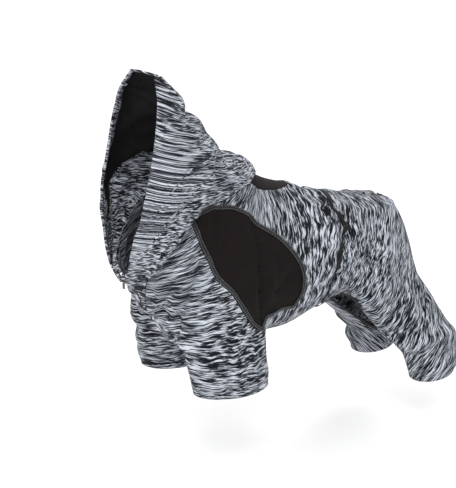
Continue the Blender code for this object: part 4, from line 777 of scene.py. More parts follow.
def hood_net(columns):
    """Hood's left half: control rows from the neck seam over the roll to the crown, columns back to front."""
    s = SEAMS
    seam = joined(s["neck_leaf"], s["neck_back"], s["neck_panel"], s["neck_sleeve"], s["neck_chest"])
    seam = spaced(seam, 60)
    share = np.linspace(0, 1, 61)
    seam = np.stack([np.interp(columns, share, seam[:, i]) for i in range(3)], -1)
    n = normals(seam)
    along = np.gradient(seam, axis=0)
    up = np.cross(n, along)
    up = up/np.linalg.norm(up, axis=1, keepdims=True)
    up = up*np.sign(np.sum(up*NECK_UP, 1, keepdims=True))
    rows = [seam-0.7*CLOTH*n+up*HOOD_RISE, seam+n*(HOOD_CLEARANCE+CLOTH)+up*1.2*HOOD_RISE]
    h = sized(HOOD, back_x=BODY_LENGTH, back_z=BODY_DEPTH, front_x=BODY_LENGTH, front_z=BODY_DEPTH,
              gap=BODY_WIDTH, half_width=BODY_WIDTH, lift=BODY_DEPTH)
    for k in range(len(h["gap"])):
        w, gap = h["half_width"][k], h["gap"][k]
        a = np.linspace(0, np.pi-np.arcsin(min(gap/w, 1.0)), 121)
        along = ((1-np.cos(a))/(1-np.cos(a[-1])))**0.85
        back = np.array([h["back_x"][k], 0, h["back_z"][k]])
        front = np.array([h["front_x"][k], 0, h["front_z"][k]])
        d = (front-back)/np.linalg.norm(front-back)
        up = np.array([d[2], 0, -d[0]])
        line = back+along[:, None]*(front-back)+(h["lift"][k]*np.sin(np.pi*along)**1.2)[:, None]*up
        line[:, 1] = -w*np.sin(a)
        line = spaced(line, 60)
        rows.append(np.stack([np.interp(columns, share, line[:, i]) for i in range(3)], -1))
    rows = np.array(rows)
    for k in range(2, len(rows)):
        f = field(rows[k])
        push = np.maximum(HOOD_CLEARANCE+2*CLOTH-f, 0)
        rows[k] = rows[k]+push[..., None]*normals(rows[k])
    return rows


def hood_grid(row_count, columns):
    net = hood_net(columns)
    d = np.linalg.norm(np.diff(net, axis=0), axis=-1).mean(1)
    u = np.concatenate([[0], np.cumsum(d)])
    u = u/u[-1]
    first = u[1]
    v = np.concatenate([[0, first*0.5, first], first+(1-first)*np.linspace(0, 1, row_count+1)[1:]])
    grid = np.empty((len(v), len(columns), 3))
    for j in range(len(columns)):
        for i in range(3):
            grid[:, j, i] = curve(v, u, net[:, j, i])
    grid[:, 0, 1] = -0.6*SEAM_GAP
    n = grid_normals(grid)
    n[:, 0, 1] = 0
    n[:, 0] = n[:, 0]/np.linalg.norm(n[:, 0], axis=-1, keepdims=True)
    lines = []
    for t in (HOOD_FOLDS, HOOD_CREASES):
        for k in range(len(t["row0"])):
            rows = np.interp(np.linspace(t["row0"][k], t["row1"][k], 9), v, np.arange(len(v)))
            places = np.linspace(t["col0"][k], t["col1"][k], 9)
            at_columns = np.interp(places, columns, np.arange(len(columns)))
            line = grid[np.round(rows).astype(int), np.round(at_columns).astype(int)]
            lines.append((line, t["width"][k], t["height"][k]))
    h = bumps(grid, lines)
    h[:3] = 0
    return grid+n*h[..., None], n


def grid_normals(grid):
    """Outward normals of a grid from its own rows and columns."""
    a, b = np.gradient(grid, axis=0), np.gradient(grid, axis=1)
    n = np.cross(a, b)
    n = n/np.maximum(np.linalg.norm(n, axis=-1, keepdims=True), 1e-12)
    for _ in range(1):
        m = n.copy()
        m[1:-1] += 0.5*(n[2:]+n[:-2])
        n = m/np.linalg.norm(m, axis=-1, keepdims=True)
    return n


def hood_pieces(row_count, column_count, turned_columns):
    """Outer and inner points of the hood half with its turned face hem, and of its lining."""
    length = 0.30*BODY_LENGTH+0.37*BODY_WIDTH
    face = FACING_WIDTH/length
    columns = np.concatenate([np.linspace(0, 1-face, column_count+1)[:-1],
                              np.linspace(1-face, 1, turned_columns+1)])
    grid, n = hood_grid(row_count, columns)
    turn = CLOTH+HEM_GAP
    fold = grid[:, -1:]-grid[:, -2:-1]
    fold = fold/np.linalg.norm(fold, axis=-1, keepdims=True)
    edge = grid[:, -1:]+fold*0.0012-n[:, -1:]*(0.5*(turn+CLOTH))
    edge_in = grid[:, -1:]+fold*0.0001-n[:, -1:]*(0.5*(turn+CLOTH))
    back = slice(None, -turned_columns-2, -1)
    g, m = grid[:, back], n[:, back]
    outer = np.concatenate([grid, edge, g-m*(turn+CLOTH)], 1)
    inner = np.concatenate([grid-n*CLOTH, edge_in, g-m*turn], 1)
    k = len(columns)-1-turned_columns
    start = 3+max(1, row_count//4)
    lining = grid[start:-1, :k+1]-n[start:-1, :k+1]*(CLOTH+LAYER_GAP)
    lining[:, -1] = step_in(lining[:, -1], lining[:, -2], 0.0010)
    lining[:, 0, 1] = -0.6*SEAM_GAP
    return outer, inner, lining, lining-n[start:-1, :k+1]*LINING_CLOTH


def zip_frame():
    """Zip's top, downward and outward directions and length."""
    line = SEAMS["zip"]*np.array([1, 0, 1])
    d = line[-1]-line[0]
    length = np.linalg.norm(d)
    d = d/length
    return line[0], d, np.array([d[2], 0, -d[0]]), length


def zip_end():
    """How far down the zip its tapes reach, clear of the belly panel."""
    top, d, _, _ = zip_frame()
    return (SEAMS["belly_centre"][0]-top) @ d-ZIP_FOOT_GAP


def zip_point(q, y, h):
    """A place q down the zip, y across and h outward of the cloth's middle."""
    line = SEAMS["zip"]*np.array([1, 0, 1])
    s = np.concatenate([[0], np.cumsum(np.linalg.norm(np.diff(line, axis=0), axis=1))])
    p = np.stack([np.interp(q, s, line[:, i]) for i in range(3)], -1)
    a = np.stack([np.interp(np.asarray(q)+0.002, s, line[:, i]) for i in range(3)], -1)
    b = np.stack([np.interp(np.asarray(q)-0.002, s, line[:, i]) for i in range(3)], -1)
    d = (a-b)/np.linalg.norm(a-b, axis=-1, keepdims=True)
    out = np.stack([d[..., 2], 0*d[..., 2], -d[..., 0]], -1)
    p = p+out*(np.asarray(h)-0.5*CLOTH)[..., None]
    p[..., 1] = y
    return p




# cloth as it is worn: flat width, flat length and cut area in metres
SHEETS = {
    "back_body": (0.22, 0.29, 0.040), "back_panel": (0.075, 0.090, 0.0056),
    "belly_panel": (0.15, 0.27, 0.029),
    "chest": (0.035, 0.085, 0.0019), "side_panel": (0.165, 0.17, 0.0190), "sleeve": (0.27, 0.24, 0.038),
    "hind": (0.29, 0.36, 0.067), "hood": (0.24, 0.32, 0.047), "hood_lining": (0.15, 0.18, 0.0185),
    # the waist band is a black strip of painted shade over the gathered waist seam's fold
    "panel_trim": (0.0055, 0.56, 0.0031), "waist_band": (0.006, 0.47, 0.0028),
    "cutout_binding": (0.005, 0.58, 0.0029),
    "tail_binding": (0.004, 0.24, 0.0010), "zip_tape": (0.0016, 0.060, 0.0001)}


def skin(name, base, outer, inner, grain, turned):
    """Cloth of real thickness between outer and inner grids of points, with its grain as an attribute."""
    ids, where = welded(base)
    top = np.array([outer[k][i, j] for k, i, j in where])
    low = np.array([inner[k][i, j] for k, i, j in where])
    run = np.array([grain[k][i, j] for k, i, j in where])
    n = len(where)
    faces, edges = [], set()
    for index, turn in zip(ids, turned):
        for i in range(index.shape[0]-1):
            for j in range(index.shape[1]-1):
                ring = [index[i, j], index[i+1, j], index[i+1, j+1], index[i, j+1]]
                ring = list(dict.fromkeys(int(v) for v in ring))
                if len(ring) < 3:
                    continue
                if turn:
                    ring.reverse()
                faces.append(ring)
                edges.update(zip(ring, ring[1:]+ring[:1]))
    cloth_faces = len(faces)
    faces += [[v+n for v in reversed(f)] for f in faces]
    faces += [[b, a, a+n, b+n] for a, b in sorted(edges) if (b, a) not in edges]
    mesh = bpy.data.meshes.new(name)
    mesh.from_pydata([tuple(p) for p in np.concatenate([top, low])-REST], [], faces)
    mesh.polygons.foreach_set("use_smooth", [k < 2*cloth_faces for k in range(len(faces))])
    at = mesh.attributes.new("grain", "FLOAT_VECTOR", "POINT")
    at.data.foreach_set("vector", np.concatenate([run, run]).astype(np.float32).ravel())
    mesh.update()
    ob = bpy.data.objects.new(name, mesh)
    bpy.context.scene.collection.objects.link(ob)
    sheet = bmesh.new()
    sheet.from_mesh(mesh)
    if sheet.calc_volume(signed=True) < 0:
        bmesh.ops.reverse_faces(sheet, faces=sheet.faces)
        sheet.to_mesh(mesh)
    sheet.free()
    ob["area"] = sum(p.area for p in mesh.polygons[:cloth_faces])
    return ob


def dressed(piece, material, slot, node, width, length, area, held="stretched"):
    """Give a cloth piece its material and its place in the frame; its flat size is passed in but not used."""
    piece.data.materials.append(material)
    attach(piece, "suit")
    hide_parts(node)


def trunk_grain(p):
    s, t = in_parts(SPINE_M, p)
    side = np.where(p[..., 1] > 0, -1, 1)
    return np.stack([np.radians(np.abs(t))*0.085*side, s*0.228, 0*s], -1)


def in_parts(g, p):
    """locate for many points, a few rows at a time."""
    flat = p.reshape(-1, 3)
    out = [locate(g, flat[k:k+3000]) for k in range(0, len(flat), 3000)]
    s, t = (np.concatenate([o[i] for o in out]).reshape(p.shape[:-1]) for i in (0, 1))
    return s, t


def sleeve_grain(p):
    s, t = in_parts(FORE_M, p)
    t = np.unwrap(np.unwrap(np.radians(t), axis=1), axis=0)
    return np.stack([t*0.044, s*0.228, 0*s], -1)


def hind_grain(p):
    """Round the rump at the top, turning more and more along the leg toward the cuff."""
    s, t = in_parts(HIND_M, p)
    t = np.unwrap(np.unwrap(np.radians(t), axis=1), axis=0)
    t = t-2*np.pi*np.round((t.mean()-0.5*np.pi)/(2*np.pi))
    around = (0.5*np.pi-t)*np.interp(s, (0, 1), (0.080, 0.036))
    return np.stack([around, s*0.26+np.interp(s, (0.1, 1.0), (0.0, 0.85))*around, 0*s], -1)


def hood_grain(p):
    """Level round the head, falling to the back at the crown and rising a little at the throat."""
    x, z = p[..., 0], p[..., 2]
    fall = np.interp(z, (-0.36*BODY_DEPTH, 0.23*BODY_DEPTH, 0.68*BODY_DEPTH), (-0.12, 0.12, 0.45))
    return np.stack([arc(p, 1), z+fall*(x+0.60*BODY_LENGTH), 0*x], -1)


GRAINS = {"back_rear": trunk_grain, "back_front": trunk_grain, "back_panel": trunk_grain,
          "belly_rear": trunk_grain, "belly_front": trunk_grain, "chest": trunk_grain,
          "side_panel": trunk_grain, "sleeve": sleeve_grain, "hind": hind_grain}
NET = {}


def body_net(step):
    """The left side's fine grids, made once, with their grain."""
    if not NET:
        b = body_pieces(step)
        rear = b["belly_rear"]
        share = np.where(np.arange(rear.shape[1]) > b["bridge"], 1.0, 0.0)
        b["belly_rear"] = pulled_in(rear, right=999, top=share)
        front = b["belly_front"]
        b["belly_front"] = pulled_in(front, right=len(front)-1, top=1.0)
        b["back_panel"] = pulled_in(b["back_panel"], left=999, bottom=1.5)
        b["side_panel"] = pulled_in(b["side_panel"], 999, 999, 0, 1.0)
        b["chest"] = pulled_in(b["chest"], 0, 999, 0, 1.0)
        b["sleeve"] = pulled_in(b["sleeve"], b["sleeve_split"], b["sleeve_split"])
        b["hind"] = pulled_in(b["hind"], 0, 0, 1.0)
        for name in GRAINS:
            NET[name] = (b[name], normals(b[name]), GRAINS[name](b[name]))
        NET["all"] = b
    return NET


def on_side(name, side):
    """Points, normals and grain of a grid, for the left side, -1, or the right, 1."""
    g, n, run = NET[name]
    flip = np.array([1, -side, 1])
    across_middle = name in ("back_rear", "back_front", "belly_rear", "belly_front", "back_panel")
    turn = np.array([-side if across_middle else 1, 1, 1])
    shift = np.array([0.31*(1+side), 0.17*(1+side), 0])*(turn[0] > 0)
    return g*flip, n*flip, run*turn+shift


def body_cloth(name, parts, sides, wall):
    base, outer, inner, grain, turned = [], [], [], [], []
    for part in parts:
        for side in sides:
            g, n, run = on_side(part, side)
            top = g+n*relief(g)[..., None]
            base.append(g)
            outer.append(top)
            inner.append(top-n*wall)
            grain.append(run)
            turned.append(side > 0)
    return skin(name, base, outer, inner, grain, turned)


def arc(points, axis):
    d = np.linalg.norm(np.diff(points, axis=axis), axis=-1)
    zero = np.zeros_like(np.take(d, [0], axis=axis))
    return np.concatenate([zero, np.cumsum(d, axis=axis)], axis=axis)


def inward(edge, toward, closed):
    """Unit directions in the cloth, away from an edge."""
    k = np.concatenate([edge[-2:-1], edge, edge[1:2]]) if closed else edge
    along = np.gradient(k, axis=0)
    along = along[1:-1] if closed else along
    d = np.cross(normals(edge), along)
    d = d/np.maximum(np.linalg.norm(d, axis=-1, keepdims=True), 1e-9)
    return d*np.sign(np.sum(d*(toward-edge)))


def band(name, edge, toward, start, width, lift, wall, closed=True, columns=7, flip=1):
    """A stitched band on the cloth along an edge, from start to start+width inside it."""
    if closed:
        edge = np.concatenate([edge, edge[:1]])
        toward = np.concatenate([toward, toward[:1]])
    d = inward(edge, toward, closed)
    share = np.linspace(0, 1, columns)
    lift = np.broadcast_to(np.asarray(lift, float).reshape(-1, 1), (len(edge), columns))
    crown = wall*(0.62+0.38*np.sin(np.pi*share))[None, :]
    base = np.stack([snap(edge+d*(start+width*u)) for u in share], 1)
    if closed:
        base[-1] = base[0]
    n = normals(base)
    low = base+n*(relief(base)+lift)[..., None]
    run = np.stack([arc(base, 0), np.broadcast_to(width*share, base.shape[:2]), 0*base[..., 0]], -1)
    turn = np.array([1, flip, 1])
    piece = skin(name, [base*turn], [(low+n*crown[..., None])*turn], [low*turn], [run], [flip < 0])
    return piece, low+n*crown[..., None], n


def rim(grid):
    """Round a grid's edge: its points and those a few rows in."""
    n, m = grid.shape[0]-1, grid.shape[1]-1
    loop = [(i, 0) for i in range(n)]+[(n, j) for j in range(m)]
    loop += [(i, m) for i in range(n, 0, -1)]+[(0, j) for j in range(m, 0, -1)]
    inner = [(min(max(i, 2), n-2), min(max(j, 2), m-2)) for i, j in loop]
    return np.array([grid[i, j] for i, j in loop]), np.array([grid[i, j] for i, j in inner])


def stitches(name, points, along, out, length, radius, material):
    """Many small thread loops as one piece, each lying along the cloth."""
    along = along/np.maximum(np.linalg.norm(along, axis=-1, keepdims=True), 1e-9)
    side = np.cross(out, along)
    side = side/np.maximum(np.linalg.norm(side, axis=-1, keepdims=True), 1e-9)
    verts, faces = [], []
    rings = ((-0.5, 0.3), (-0.3, 1.0), (0.3, 1.0), (0.5, 0.3))
    for k in range(len(points)):
        first = len(verts)
        for share, size in rings:
            for turn in range(4):
                a = 0.25*math.pi+0.5*math.pi*turn
                offset = side[k]*math.cos(a)+out[k]*math.sin(a)
                verts.append(tuple(points[k]+along[k]*length*share+offset*radius*size-REST))
        for ring in range(3):
            for turn in range(4):
                a, b = first+ring*4+turn, first+ring*4+(turn+1) % 4
                faces.append((a, b, b+4, a+4))
        faces.append((first+3, first+2, first+1, first))
        faces.append((first+12, first+13, first+14, first+15))
    mesh = bpy.data.meshes.new(name)
    mesh.from_pydata(verts, [], faces)
    mesh.polygons.foreach_set("use_smooth", [True]*len(faces))
    check = bmesh.new()
    check.from_mesh(mesh)
    if check.calc_volume(signed=True) < 0:
        bmesh.ops.reverse_faces(check, faces=check.faces)
        check.to_mesh(mesh)
    check.free()
    ob = bpy.data.objects.new(name, mesh)
    bpy.context.scene.collection.objects.link(ob)
    ob.data.materials.append(material)
    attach(ob, "suit")
    return ob


def stitch_row(points, out, pitch):
    """Even places along a line of points, with their directions."""
    d = arc(points, 0)
    places = np.arange(0.5*pitch, d[-1], pitch)
    p = np.stack([np.interp(places, d, points[:, i]) for i in range(3)], -1)
    n = np.stack([np.interp(places, d, out[:, i]) for i in range(3)], -1)
    n = n/np.linalg.norm(n, axis=-1, keepdims=True)
    return p, np.gradient(p, axis=0), n


def socket(group, name, kind, direction, value=None):
    s = group.interface.new_socket(name=name, in_out=direction, socket_type=kind)
    if value is not None:
        s.default_value = value
    return s


def link(tree, a, b):
    tree.links.new(a, b)


def stretched_noise(tree, source, length, width, detail, x):
    """Noise drawn out along the grain: length and width of its marks in metres."""
    m = tree.nodes.new("ShaderNodeMapping")
    m.inputs["Scale"].default_value = (1/length, 1/width, 1/width)
    m.inputs["Location"].default_value = (x, 2.3*x, 0.7*x)
    n = tree.nodes.new("ShaderNodeTexNoise")
    n.inputs["Scale"].default_value = 1.0
    n.inputs["Detail"].default_value = detail
    n.inputs["Roughness"].default_value = 0.55
    link(tree, source, m.inputs["Vector"])
    link(tree, m.outputs["Vector"], n.inputs["Vector"])
    return n.outputs["Fac"]


def math_node(tree, kind, a, b):
    n = tree.nodes.new("ShaderNodeMath")
    n.operation = kind
    for k, v in enumerate((a, b)):
        if isinstance(v, (int, float)):
            n.inputs[k].default_value = v
        else:
            link(tree, v, n.inputs[k])
    return n.outputs[0]


def knit_group():
    """Fine knit loops along the grain: a height and a small shade."""
    g = bpy.data.node_groups.get("Knit loops") or bpy.data.node_groups.new("Knit loops", "ShaderNodeTree")
    if g.nodes:
        return g
    socket(g, "Grain", "NodeSocketVector", "INPUT")
    socket(g, "Pitch", "NodeSocketFloat", "INPUT", 0.0011)
    socket(g, "Height", "NodeSocketFloat", "OUTPUT")
    socket(g, "Shade", "NodeSocketFloat", "OUTPUT")
    i, o = g.nodes.new("NodeGroupInput"), g.nodes.new("NodeGroupOutput")
    part = g.nodes.new("ShaderNodeSeparateXYZ")
    link(g, i.outputs["Grain"], part.inputs[0])
    turn = math_node(g, "DIVIDE", 2*math.pi, i.outputs["Pitch"])
    across = math_node(g, "ADD", part.outputs[1], part.outputs[2])
    wales = math_node(g, "SINE", math_node(g, "MULTIPLY", part.outputs[0], turn), 0)
    rows = math_node(g, "SINE", math_node(g, "MULTIPLY", across, turn), 0)
    both = math_node(g, "MULTIPLY", wales, rows)
    fuzz = stretched_noise(g, i.outputs["Grain"], 0.0010, 0.0007, 2.0, 3.1)
    height = math_node(g, "ADD", math_node(g, "MULTIPLY", both, 0.5), fuzz)
    link(g, height, o.inputs["Height"])
    link(g, fuzz, o.inputs["Shade"])
    return g


def streak_group():
    """Space-dyed streaks: three shades of yarn in short dashes along the grain."""
    g = bpy.data.node_groups.get("Yarn streaks") or bpy.data.node_groups.new("Yarn streaks", "ShaderNodeTree")
    if g.nodes:
        return g
    socket(g, "Grain", "NodeSocketVector", "INPUT")
    for name in ("Light", "Middle", "Dark"):
        socket(g, name, "NodeSocketColor", "INPUT", (0.5, 0.5, 0.5, 1))
    socket(g, "Color", "NodeSocketColor", "OUTPUT")
    socket(g, "Tone", "NodeSocketFloat", "OUTPUT")
    i, o = g.nodes.new("NodeGroupInput"), g.nodes.new("NodeGroupOutput")
    sway = stretched_noise(g, i.outputs["Grain"], 0.022, 0.030, 1.0, 7.7)
    offset = g.nodes.new("ShaderNodeCombineXYZ")
    link(g, math_node(g, "MULTIPLY", math_node(g, "SUBTRACT", sway, 0.5), 0.007), offset.inputs[1])
    moved = g.nodes.new("ShaderNodeVectorMath")
    link(g, i.outputs["Grain"], moved.inputs[0])
    link(g, offset.outputs[0], moved.inputs[1])
    bold = stretched_noise(g, moved.outputs[0], 0.0145, 0.00145, 2.0, 0.4)
    fine = stretched_noise(g, moved.outputs[0], 0.0075, 0.00085, 2.0, 5.2)
    broad = stretched_noise(g, moved.outputs[0], 0.026, 0.0070, 1.0, 9.6)
    tone = math_node(g, "ADD", math_node(g, "MULTIPLY", bold, 0.60), math_node(g, "MULTIPLY", fine, 0.24))
    tone = math_node(g, "ADD", tone, math_node(g, "MULTIPLY", broad, 0.16))
    dark = g.nodes.new("ShaderNodeMapRange")
    dark.inputs["From Min"].default_value, dark.inputs["From Max"].default_value = 0.465, 0.510
    light = g.nodes.new("ShaderNodeMapRange")
    light.inputs["From Min"].default_value, light.inputs["From Max"].default_value = 0.505, 0.575
    for n in (dark, light):
        link(g, tone, n.inputs["Value"])
    low, high = g.nodes.new("ShaderNodeMix"), g.nodes.new("ShaderNodeMix")
    for n in (low, high):
        n.data_type = "RGBA"
    link(g, dark.outputs[0], low.inputs["Factor"])
    link(g, i.outputs["Dark"], low.inputs["A"])
    link(g, i.outputs["Middle"], low.inputs["B"])
    link(g, light.outputs[0], high.inputs["Factor"])
    link(g, low.outputs["Result"], high.inputs["A"])
    link(g, i.outputs["Light"], high.inputs["B"])
    link(g, high.outputs["Result"], o.inputs["Color"])
    link(g, tone, o.inputs["Tone"])
    return g


def new_material(name):
    m = bpy.data.materials.new(name)
    m.use_nodes = True
    t = m.node_tree
    return m, t, t.nodes["Principled BSDF"]


def bump(tree, height, strength, distance, shader):
    b = tree.nodes.new("ShaderNodeBump")
    b.inputs["Strength"].default_value = strength
    b.inputs["Distance"].default_value = distance
    link(tree, height, b.inputs["Height"])
    link(tree, b.outputs[0], shader.inputs["Normal"])


def grain_node(tree):
    a = tree.nodes.new("ShaderNodeAttribute")
    a.attribute_name = "grain"
    return a.outputs["Vector"]


def heather(name, light, middle, dark):
    m, t, shader = new_material(name)
    run = grain_node(t)
    streaks = t.nodes.new("ShaderNodeGroup")
    streaks.node_tree = streak_group()
    knit = t.nodes.new("ShaderNodeGroup")
    knit.node_tree = knit_group()
    for n in (streaks, knit):
        link(t, run, n.inputs["Grain"])
    for key, colour in (("Light", light), ("Middle", middle), ("Dark", dark)):
        streaks.inputs[key].default_value = (*colour, 1)
    link(t, streaks.outputs["Color"], shader.inputs["Base Color"])
    rough = math_node(t, "ADD", math_node(t, "MULTIPLY", knit.outputs["Shade"], 0.2), 0.72)
    link(t, rough, shader.inputs["Roughness"])
    shader.inputs["Sheen Weight"].default_value = 0.02
    shader.inputs["Sheen Roughness"].default_value = 0.5
    shader.inputs["Specular IOR Level"].default_value = 0.12
    raised = math_node(t, "MULTIPLY", streaks.outputs["Tone"], 1.6)
    height = math_node(t, "ADD", knit.outputs["Height"], raised)
    bump(t, height, 0.45, 0.0004, shader)
    return m


def plain_jersey(name, colour, worn):
    m, t, shader = new_material(name)
    run = grain_node(t)
    knit = t.nodes.new("ShaderNodeGroup")
    knit.node_tree = knit_group()
    knit.inputs["Pitch"].default_value = 0.0009
    link(t, run, knit.inputs["Grain"])
    cloud = stretched_noise(t, run, 0.030, 0.014, 3.0, 2.2)
    mix = t.nodes.new("ShaderNodeMix")
    mix.data_type = "RGBA"
    mix.inputs["A"].default_value = (*colour, 1)
    mix.inputs["B"].default_value = (*worn, 1)
    link(t, cloud, mix.inputs["Factor"])
    link(t, mix.outputs["Result"], shader.inputs["Base Color"])
    rough = math_node(t, "ADD", math_node(t, "MULTIPLY", knit.outputs["Shade"], 0.16), 0.70)
    link(t, rough, shader.inputs["Roughness"])
    shader.inputs["Sheen Weight"].default_value = 0.01
    shader.inputs["Specular IOR Level"].default_value = 0.10
    bump(t, knit.outputs["Height"], 0.35, 0.0002, shader)
    return m


def stitched_band(name, colour, thread):
    """Overlocked black edge: slanted threads over the band, some catching the light."""
    m, t, shader = new_material(name)
    run = grain_node(t)
    part = t.nodes.new("ShaderNodeSeparateXYZ")
    link(t, run, part.inputs[0])
    slant = math_node(t, "ADD", part.outputs[0], math_node(t, "MULTIPLY", part.outputs[1], 0.5))
    threads = math_node(t, "SINE", math_node(t, "MULTIPLY", slant, 2*math.pi/0.0012), 0)
    cross = math_node(t, "SINE", math_node(t, "MULTIPLY", part.outputs[1], 2*math.pi/0.0014), 0)
    height = math_node(t, "ADD", threads, math_node(t, "MULTIPLY", cross, 0.5))
    catch = stretched_noise(t, run, 0.0013, 0.0011, 1.0, 4.4)
    fleck = t.nodes.new("ShaderNodeMapRange")
    fleck.inputs["From Min"].default_value, fleck.inputs["From Max"].default_value = 0.68, 0.78
    link(t, catch, fleck.inputs["Value"])
    mix = t.nodes.new("ShaderNodeMix")
    mix.data_type = "RGBA"
    mix.inputs["A"].default_value = (*colour, 1)
    mix.inputs["B"].default_value = (*thread, 1)
    link(t, fleck.outputs[0], mix.inputs["Factor"])
    link(t, mix.outputs["Result"], shader.inputs["Base Color"])
    shader.inputs["Roughness"].default_value = 0.75
    bump(t, height, 0.7, 0.0004, shader)
    return m


def hard_finish(name, colour, metal, rough):
    m, t, shader = new_material(name)
    where = t.nodes.new("ShaderNodeTexCoord").outputs["Object"]
    n = stretched_noise(t, where, 0.0016, 0.0012, 3.0, 1.3)
    link(t, math_node(t, "ADD", math_node(t, "MULTIPLY", n, 0.22), rough-0.11), shader.inputs["Roughness"])
    edge = t.nodes.new("ShaderNodeMix")
    edge.data_type = "RGBA"
    edge.inputs["A"].default_value = (*colour, 1)
    edge.inputs["B"].default_value = (*(min(1.0, c*1.9+0.02) for c in colour), 1)
    link(t, n, edge.inputs["Factor"])
    link(t, edge.outputs["Result"], shader.inputs["Base Color"])
    shader.inputs["Metallic"].default_value = metal
    bump(t, n, 0.15, 0.0001, shader)
    return m


def thread_finish(name, colour):
    m, t, shader = new_material(name)
    where = t.nodes.new("ShaderNodeTexCoord").outputs["Object"]
    n = stretched_noise(t, where, 0.0004, 0.0004, 1.0, 2.1)
    mix = t.nodes.new("ShaderNodeMix")
    mix.data_type = "RGBA"
    mix.inputs["A"].default_value = (*colour, 1)
    mix.inputs["B"].default_value = (*(0.7*c for c in colour), 1)
    link(t, n, mix.inputs["Factor"])
    link(t, mix.outputs["Result"], shader.inputs["Base Color"])
    shader.inputs["Roughness"].default_value = 0.6
    bump(t, n, 0.3, 0.0001, shader)
    return m


MATERIALS = {}


def material(key, settings):
    """Each finish, made once from the add-on's colours."""
    if key not in MATERIALS:
        s = settings
        MATERIALS[key] = {
            "heather": lambda: heather("Heather jersey", s.light, s.middle, s.dark),
            "black": lambda: plain_jersey("Black jersey", s.black, s.black_worn),
            "lining": lambda: plain_jersey("Hood lining", s.lining, s.lining),
            "band": lambda: stitched_band("Overlocked band", s.band, s.thread),
            "thread": lambda: thread_finish("Pale thread", s.thread),
            "grey_thread": lambda: thread_finish("Grey thread", s.middle),
            "plastic": lambda: hard_finish("Zip plastic", s.zip_plastic, 0.0, 0.5),
            "metal": lambda: hard_finish("Enamelled metal", s.zip_metal, 0.6, 0.38)}[key]()
    return MATERIALS[key]


def rgb(name, text, value):
    return bpy.props.FloatVectorProperty(name=name, description=text, subtype="COLOR", size=3, min=0, max=1,
                                         default=value)


def length(name, text, value):
    return bpy.props.FloatProperty(name=name, description=text, unit="LENGTH", default=value, min=0,
                                   precision=4)


class HoodieColours(bpy.types.PropertyGroup):
    light: rgb("Light yarn", "Palest streaks of the heather jersey", (0.47, 0.50, 0.55))
    middle: rgb("Middle yarn", "Grey between the streaks", (0.092, 0.101, 0.122))
    dark: rgb("Dark yarn", "Darkest streaks of the heather jersey", (0.0035, 0.0039, 0.0060))
    black: rgb("Panel", "Black stretch jersey of the let-in panels", (0.0042, 0.0027, 0.0029))
    black_worn: rgb("Panel, worn", "The panels where the cloth is rubbed", (0.0080, 0.0054, 0.0056))
    lining: rgb("Lining", "Inside of the hood", (0.0060, 0.0060, 0.0068))
    # the bands' black also colours the strip on the waist seam, which is painted shade of its gathered fold
    band: rgb("Bands", "Overlocked edges and seams", (0.0018, 0.0018, 0.0020))
    thread: rgb("Thread", "Pale flecks of the cover stitch", (0.30, 0.31, 0.33))
    zip_plastic: rgb("Zip teeth", "Moulded teeth", (0.010, 0.010, 0.011))
    zip_metal: rgb("Zip slider", "Enamelled slider and pull", (0.045, 0.045, 0.048))


class HoodieCloth(bpy.types.PropertyGroup):
    step: length("Grid", "Spacing of the cloth's mesh", 0.0034)
    wall: length("Cloth", "Thickness of the jersey", CLOTH)
    lining_wall: length("Lining", "Thickness of the hood's lining", LINING_CLOTH)
    stitch_pitch: length("Stitch pitch", "From one cover stitch to the next", 0.0027)
    stitch_length: length("Stitch length", "Length of one cover stitch", 0.0013)
    stitch_radius: length("Stitch radius", "Half the thread's thickness", 0.00028)
    hem_depth: length("Hem depth", "From a leg's edge to its hem stitch", 0.010)


class HoodieZip(bpy.types.PropertyGroup):
    pitch: length("Tooth pitch", "From one tooth to the next on one tape", 0.0022)
    tooth_length: length("Tooth length", "Across the tape", 0.0021)
    tooth_width: length("Tooth width", "Down the zip", 0.00105)
    bevel: length("Rounding", "Rounding of hard edges", 0.0002)


class HoodieStage(bpy.types.PropertyGroup):
    azimuth: bpy.props.FloatProperty(name="Azimuth", description="Camera's turn round the suit, in degrees",
                                     default=-33.2)
    elevation: bpy.props.FloatProperty(name="Elevation", description="Camera's height angle, in degrees",
                                       default=17.8)
    distance: length("Distance", "From the camera to the point it looks at", 2.7)
    target_x: bpy.props.FloatProperty(name="Target X", description="Point looked at", unit="LENGTH",
                                      default=-0.1026)
    target_z: bpy.props.FloatProperty(name="Target Z", description="Point looked at", unit="LENGTH",
                                      default=-0.0670)
    lens: bpy.props.FloatProperty(name="Lens", description="Focal length in millimetres", default=147.5)
    floor: bpy.props.FloatProperty(name="Floor", description="Height of the floor", unit="LENGTH",
                                   default=-0.378)


class HOODIE_OT_back(bpy.types.Operator):
    """Heather back and flanks, with the black leaf let into the top"""
    bl_idname = "hoodie.back"
    bl_label = "Back"

    def execute(self, context):
        cloth, tones = context.scene.hoodie_cloth, context.scene.hoodie_colours
        body_net(cloth.step)
        back = body_cloth("back_body_cloth", ("back_rear", "back_front"), (-1, 1), cloth.wall)
        dressed(back, material("heather", tones), "heather", "back_body", *SHEETS["back_body"])
        leaf = body_cloth("back_panel_cloth", ("back_panel",), (-1, 1), cloth.wall)
        dressed(leaf, material("black", tones), "black_jersey", "back_panel", *SHEETS["back_panel"])
        return {"FINISHED"}


